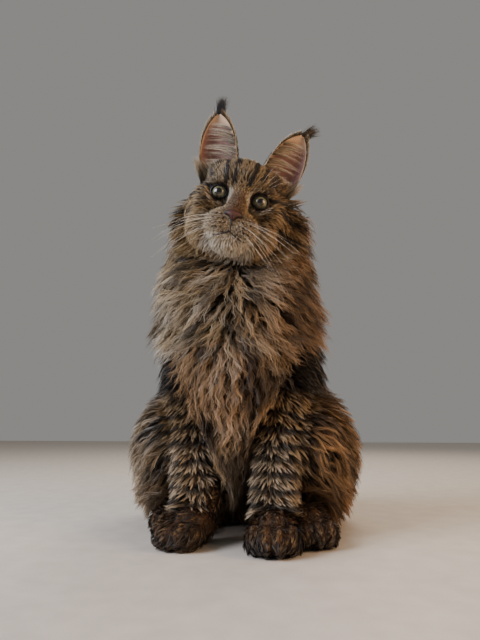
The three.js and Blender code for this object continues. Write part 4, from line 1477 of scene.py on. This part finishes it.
@dataclass
class Muzzle:
    """The nose leather, the line of the mouth and the whiskers."""

    figure: Figure
    nose_size: Triple = (11.0, 7.4, 6.8)
    nostril: float = 3.4

    def nose(self, material: Material) -> None:
        """A heart-shaped pad with two comma nostrils and a cleft, pulled from a fine sphere."""
        deselect()
        bpy.ops.mesh.primitive_ico_sphere_add(subdivisions=6, radius=MM)
        item = bpy.context.object
        item.name = item.data.name = "nose_leather"
        way = unit(points_of(item))
        x, y, z = way.T
        wide, deep, high = self.nose_size
        local = triples(x * (wide * (1 - 0.5 * rise(0.25, -1.0, z))), y * deep, z * high)
        holes = np.zeros(len(way))
        for s in (1, -1):
            comma = 0.35 * (np.abs(local[:, 0]) - 5.6)
            off = np.stack([(local[:, 0] - 5.4 * s) / 3.2, (local[:, 2] + 2.6 - comma) / 2.2], axis=1)
            hole = np.exp(-(off**2).sum(1) * 1.1)
            local[:, 1] += self.nostril * hole * (local[:, 1] < 0)
            holes = np.maximum(holes, hole)
        cleft = np.exp(-((local[:, 0] / 0.7) ** 2)) * rise(1.5, -1, local[:, 2])
        local[:, 1] += cleft * (local[:, 1] < 0)
        edge = rise(0.6, 0.9, np.hypot(local[:, 0] / wide, local[:, 2] / high)) + 0.8 * rise(0.6, 0.9, np.abs(x))
        # The rim is the dark outline of the leather plus painted shade inside the nostrils.
        set_attribute(item, "rim", np.clip(edge + holes * 1.7, 0, 1))
        set_points(item, HEAD.out(local + np.array([0, NOSE_AT[1] - 0.6, NOSE_AT[2] - 1.2])))
        cover(item, material)
        dress(item, ["nose"])

    def on_skin(self, local: Array, lift: float) -> Array:
        """Points of the head's frame moved onto its skin, in the world."""
        points = HEAD.out(local)
        for _ in range(12):
            points = points - self.figure.outward(points) * (self.figure.distance(points) - lift)[:, None] * 0.8
        return points

    def lips(self, material: Material) -> None:
        """The cleft below the nose and the two sides of the mouth, as one dark line."""
        lines = [np.array([[0, -70, -31], [0, -69, -35], [0, -67, -39], [0, -65, -43]], float)]
        corner = np.array([[0, -65, -43], [6, -64, -47], [13, -59, -48.5], [20, -50, -47], [26, -40, -42]])
        lines += [corner * [s, 1, 1] for s in (1, -1)]
        tubes = []
        for line in lines:
            t = np.linspace(0, len(line) - 1, 26)
            low = np.minimum(t.astype(int), len(line) - 2)
            fine = line[low] + (line[low + 1] - line[low]) * (t - low)[:, None]
            for _ in range(6):
                fine[1:-1] = 0.25 * fine[:-2] + 0.5 * fine[1:-1] + 0.25 * fine[2:]
            path = self.on_skin(fine, 0.5)
            tubes.append((path, np.linspace(1.05, 0.5, len(path))))
        item = joined_tubes("lip_line", tubes, material, 6)
        set_attribute(item, "rim", np.ones(len(item.data.vertices)))
        dress(item)

    def whiskers(self, material: Material) -> None:
        """Long whiskers in rows on the pads, and a few over each eye, all drooping at their tips."""
        random = np.random.default_rng(77)
        tubes = []
        for side in Side:
            s = side.value
            for row in range(3):
                for column in range(4):
                    root = np.array([(9 + 4.0 * column) * s, -62 + 2.2 * column, -30 - 4.2 * row])
                    root = root + random.normal(0, 0.5, 3)
                    way = np.array([0.9 * s, -0.25 + 0.14 * column, -0.15 - 0.22 * row]) + random.normal(0, 0.1, 3)
                    tubes.append(self.whisker(root, way, random.uniform(45, 76), 0.15, random))
            for n in range(4):
                root = np.array([(19 + 3.2 * n) * s, -34 + 1.5 * n, 17.0])
                way = np.array([(0.3 + 0.22 * n) * s, -0.55, 0.9])
                tubes.append(self.whisker(root, way, random.uniform(26, 38), 0.11, random))
        dress(joined_tubes("whiskers", tubes, material, 5))

    def whisker(self, root: Array, way: Array, length: float, radius: float, random: Random) -> tuple[Array, Array]:
        """One whisker's path and radii."""
        start = self.on_skin(root[None], -1.0)[0]
        way = unit(HEAD.direct(way[None]))[0]
        t = np.linspace(0, 1, 12)
        droop = np.array([0, 0, -1.0]) * length * random.uniform(0.16, 0.34)
        path = start + way * (length * t)[:, None] + droop * (t**2.2)[:, None]
        lift = np.maximum(2.5 - self.figure.distance(path), 0) * rise(0.05, 0.3, t)
        return path + self.figure.outward(path) * lift[:, None], radius * (1 - 0.85 * t)


class EarHair(Enum):
    """The kinds of hair on an ear: how many there are, and how wide in millimetres."""

    BACK = (3600, 0.8)
    RIM = (2200, 0.45)
    BASE = (900, 0.42)
    HOLLOW = (380, 0.36)
    TUFT = (900, 0.4)


@dataclass
class EarHairs:
    """Hairs in an ear's frame: their paths, which way they face, where on the cup they root, and their paint."""

    path: Array
    normal: Array
    v: Array
    a: Array
    paint: Paint


@dataclass
class Ear:
    """One ear: a thin cup, its hairs and its tuft."""

    side: Side
    rows: int = 44
    columns: int = 40
    wall: float = 1.3

    def surface(self, v: Array, a: Array, inset: Array | float = 0.0) -> Array:
        """Points of the cup, in the ear's own frame.

        Args:
            v: How far up the ear, from 0 at its root to 1 at its tip.
            a: The angle round its back, from the edge by the brow to the outer edge.
            inset: How far inside the outer layer.
        Returns:
            Points in millimetres.
        """
        v = np.clip(v, -0.2, 1)
        half = EAR_WIDTH / 2 * np.maximum(1 - np.maximum(v, 0) ** 2.1, 0) ** 0.72 * (0.93 + 0.22 * v)
        half = np.maximum(half, 2.2)
        depth = half * (0.95 - 0.5 * v) + 1
        fold = 1.5 * np.exp(-(((a - 1.05) / 0.16) ** 2)) * rise(0.4, 0.1, v)
        x = (half - 0.3 * inset) * np.sin(a) * self.side.value
        y = depth * np.cos(a) - inset + 6 * v * v - fold
        return np.stack([x, y, v * EAR_HEIGHT], axis=-1)

    def faces(self) -> list[tuple[int, ...]]:
        """The cup's faces: both layers, the two edges between them, and its two ends."""
        step, layer = self.columns, self.rows * self.columns
        faces = []
        for i in range(self.rows - 1):
            for j in range(step - 1):
                k = i * step + j
                faces.append((k, k + 1, k + step + 1, k + step))
                faces.append((k + layer, k + step + layer, k + step + 1 + layer, k + 1 + layer))
            for k in (i * step, i * step + step - 1):
                faces.append((k, k + step, k + step + layer, k + layer))
        for j in range(step - 1):
            for k in (j, (self.rows - 1) * step + j):
                faces.append((k, k + layer, k + 1 + layer, k + 1))
        return faces

    def build(self, material: Material) -> None:
        """The cup as a closed mesh of two layers."""
        up = np.linspace(-EAR_SUNK / EAR_HEIGHT, 0.995, self.rows)
        share = np.linspace(-1, 1, self.columns)
        v, a = np.meshgrid(up, share * math.pi / 2, indexing="ij")
        layers = [self.surface(v, a, inset).reshape(-1, 3) for inset in (0.0, self.wall)]
        placed = ear_placing(self.side).out(np.concatenate(layers))
        item = object_from("ear_cup_" + self.side.word, placed, self.faces(), material)
        mesh = bmesh.new()
        mesh.from_mesh(item.data)
        bmesh.ops.recalc_face_normals(mesh, faces=mesh.faces)
        mesh.to_mesh(item.data)
        mesh.free()
        set_attribute(item, "inner", np.repeat([0.0, 1.0], self.rows * self.columns))
        outward = a / (math.pi / 2)
        edge = rise(0.8, 1.0, np.abs(outward)) + 0.7 * rise(-0.35, -0.75, outward) + 0.8 * rise(0.74, 0.93, v)
        set_attribute(item, "rim", np.tile(np.clip(edge, 0, 1).ravel(), 2))
        dress(item, ["ear_" + self.side.word])

    def back(self, count: int, random: Random) -> EarHairs:
        """Short hairs that run up the back."""
        s = self.side.value
        v, a = random.uniform(-0.1, 0.97, count), random.uniform(-1.15, 1.15, count)
        root = self.surface(v, a)
        normal = unit(triples(np.sin(a) * s, np.cos(a), 0.1))
        way = unit(triples(0.15 * np.sin(a) * s, 0.0, 1.0))
        path = root[:, None] + way[:, None] * EAR_T * 7 + normal[:, None] * (0.6 + 1.6 * EAR_T**0.7)
        paint = Paint(0.75 + 0.25 * rise(0.3, 0.8, v), np.full(count, 0.4), np.zeros(count))
        return EarHairs(path, normal, v, a, paint)

    def rim(self, count: int, random: Random) -> EarHairs:
        """A fringe along both edges."""
        s = self.side.value
        v = random.uniform(0.0, 0.98, count)
        edge = np.where(random.random(count) < 0.5, -1, 1)
        a = edge * random.uniform(1.25, 1.57, count)
        root = self.surface(v, a, self.wall * random.random(count))
        normal = unit(triples(np.sin(a) * s, -0.5, 0.2))
        way = unit(triples(-0.25 * edge * s * rise(0.6, 0.2, v), -0.35, 1.0))
        length = (5 + 3 * random.random(count))[:, None, None]
        path = root[:, None] + way[:, None] * EAR_T * length + normal[:, None] * EAR_T * 1.6
        dark = 0.75 * rise(0.9, 1.0, v) * (random.random(count) < 0.6)
        pale = 0.35 + 0.3 * random.random(count)
        return EarHairs(path, normal, v, a, Paint(dark, np.full(count, 0.05), pale))

    def base(self, count: int, random: Random) -> EarHairs:
        """Longer hairs that rise out of the foot of the hollow."""
        s = self.side.value
        v, a = random.uniform(-0.1, 0.05, count), random.uniform(-1.55, 1.55, count)
        root = self.surface(v, a, self.wall)
        root[:, 1] -= random.uniform(2, 14, count) * np.cos(a) + 2 * (a > 1)
        way = unit(triples((0.5 - 0.3 * a) * s, -0.35, 1.0) + random.normal(0, 0.12, (count, 3)))
        length = random.uniform(12, 25, count)[:, None, None]
        path = root[:, None] + way[:, None] * EAR_T * length
        path[:, :, 0] += s * 4 * EAR_T[:, :, 0] ** 2
        normal = np.tile([0.0, -1.0, 0.3], (count, 1))
        dark = 0.35 * random.random(count)
        pale = 0.35 + 0.5 * random.random(count)
        return EarHairs(path, normal, v, a, Paint(dark, np.full(count, 0.1), pale))

    def hollow(self, count: int, random: Random) -> EarHairs:
        """Rows of hair that bow across the hollow from the edge by the brow."""
        row = random.integers(0, 10, count)
        v = -0.04 + row * 0.08 + 0.018 * np.sin(row * 2.3) + random.normal(0, 0.011, count)
        a = np.full(count, -1.35) + random.normal(0, 0.12, count)
        root = self.surface(v, a, self.wall)
        reach = random.uniform(0.45, 1.0, count)
        far = self.surface(v, np.full(count, 1.4), self.wall)
        end = root + (far - root) * reach[:, None]
        bow = triples(0.0, 0.3 * self.surface(v, np.zeros(count))[:, 1] - 2, 4 + 2 * random.random(count))
        path = root[:, None] * (1 - EAR_T) + end[:, None] * EAR_T
        path = path + bow[:, None] * (4 * EAR_T * (1 - EAR_T)) * 0.8
        lift = 7 + 5 * reach + 2.5 * np.cos(row * 1.7) + random.normal(0, 1, count)
        path[:, :, 2] += EAR_T[:, :, 0] * lift[:, None]
        normal = np.tile([0.0, -1.0, 0.3], (count, 1))
        paint = Paint(np.zeros(count), np.zeros(count), random.uniform(0.45, 0.95, count))
        return EarHairs(path, normal, v, a, paint)

    def tuft(self, count: int, random: Random) -> EarHairs:
        """The dark brush at the tip."""
        v, a = random.uniform(0.91, 1.0, count), random.uniform(-1.1, 1.1, count)
        root = self.surface(v, a)
        fan = math.radians(TUFT_LEAN[self.side]) + random.normal(0, 0.13, count)
        length = (9 + 21 * random.random(count) ** 1.4) * rise(0.86, 0.97, v) + 2
        way = triples(np.sin(fan), 0.05, np.cos(fan))
        bend = triples(0.3 * np.sin(fan + 0.3), 0.25, 0.0)
        path = root[:, None] + (way[:, None] * EAR_T + bend[:, None] * EAR_T**2 * 0.5) * length[:, None, None]
        path[:, :, 0] -= root[:, None, 0] * EAR_T[:, :, 0] * 0.6
        normal = np.tile([0.0, 1.0, 0.0], (count, 1))
        return EarHairs(path, normal, v, a, Paint(np.ones(count), np.zeros(count), np.zeros(count)))

    def coat(self, material: Material) -> None:
        """All the ear's hairs, in one piece for each kind."""
        random = np.random.default_rng(500 + self.side.value)
        placing = ear_placing(self.side)
        makers = (self.back, self.rim, self.base, self.hollow, self.tuft)
        for kind, make in zip(EarHair, makers):
            count, width = kind.value
            hairs = make(count, random)
            marks = dict(vars(hairs.paint), tone=random.random(count))
            world = placing.out(hairs.path.reshape(-1, 3)).reshape(hairs.path.shape)
            unwrapped = np.stack([hairs.a / math.pi + 0.5, np.clip(hairs.v, 0, 1)], axis=1)
            unwrapped = np.clip(0.05 + 0.9 * unwrapped, 0, 1)
            roots = Roots(world[:, 0], placing.direct(hairs.normal), unwrapped, np.zeros(count, int))
            name = f"ear_{kind.name.lower()}_{self.side.word}"
            dress(ribbons(name, world, width, roots, marks, material, random))


# Stage

@dataclass(frozen=True)
class Studio:
    """A pale floor, soft lights and the camera."""

    eye: Triple = (0.086, -0.674, 0.118)
    azimuth: float = 8.0
    pitch: float = 11.86
    focal_pixels: float = 500.0
    sensor: float = 36.0
    middle: Triple = (0, -0.05, 0.25)
    sky: str = "cfcdc9"
    sky_strength: float = 0.42

    def camera(self) -> None:
        """The camera where the photo was taken from: low, in front, looking up a little."""
        data = bpy.data.cameras.new("view")
        data.sensor_width = self.sensor
        data.lens = self.sensor * self.focal_pixels / max(IMAGE)
        data.clip_start = 0.01
        camera = linked("view", data)
        a, p = math.radians(self.azimuth), math.radians(self.pitch)
        ahead = Vector((-math.sin(a) * math.cos(p), math.cos(a) * math.cos(p), math.sin(p)))
        camera.location = self.eye
        camera.rotation_euler = ahead.to_track_quat("-Z", "Y").to_euler()
        bpy.context.scene.camera = camera

    def lamp(self, name: str, place: Triple, size: float, power: float, code: str) -> None:
        """A soft square light that faces the cat."""
        data = bpy.data.lights.new(name, "AREA")
        data.size = size
        data.energy = power
        data.color = colour(code)[:3]
        light = linked(name, data)
        light.location = place
        light.rotation_euler = (Vector(self.middle) - Vector(place)).to_track_quat("-Z", "Y").to_euler()

    def lights(self) -> None:
        """A cool soft light from the window side, a warm one across from it, and a dim sky."""
        self.lamp("window_side", (-1.1, -0.9, 0.95), 0.9, 36, "eef2ff")
        self.lamp("room_side", (1.2, -0.5, 0.6), 0.8, 15, "ffd0a0")
        self.lamp("behind", (0.3, 1.1, 1.3), 0.9, 12, "fff4e4")
        world = bpy.data.worlds.new("sky")
        world.use_nodes = True
        background = world.node_tree.nodes["Background"]
        background.inputs["Color"].default_value = colour(self.sky)
        background.inputs["Strength"].default_value = self.sky_strength
        bpy.context.scene.world = world

    def floor(self) -> None:
        """A wide pale floor."""
        deselect()
        bpy.ops.mesh.primitive_plane_add(size=6.0, location=(0, 0, -0.0002))
        floor = bpy.context.object
        floor.name = "floor"
        floor.data.materials.append(FloorFinish().build())

    def build(self) -> None:
        """The whole stage."""
        self.camera()
        self.lights()
        self.floor()


def main() -> None:
    """Builds the cat on its stage."""
    logging.basicConfig(level=logging.INFO, format="%(name)s: %(message)s")
    Studio().build()
    figure = make_figure()
    markings = Markings(figure)
    hair = HairFinish().build()
    skin = Skin(figure, markings).build(SkinFinish().build())
    dress(skin, FLESH)
    dark_leather = LeatherFinish("dark_lid_leather", "2a201b", "0f0c0a", 0.6, 0.42).build()
    eyes = Eyes()
    iris = EyeFinish().build()
    ear_skin = EarFinish().build()
    for side in Side:
        eyes.ball(side, iris)
        eyes.lids(side, dark_leather)
        ear = Ear(side)
        ear.build(ear_skin)
        ear.coat(hair)
    muzzle = Muzzle(figure)
    muzzle.nose(LeatherFinish("brick_nose_leather", "5a3023", "140b08", 0.55, 0.6).build())
    muzzle.lips(dark_leather)
    muzzle.whiskers(WhiskerFinish().build())
    field = Field(figure, skin)
    for seed, coat in enumerate(coats(figure), FIRST_SEED):
        coat.build(figure, field, markings, hair, seed)


if __name__ == "__main__":
    main()
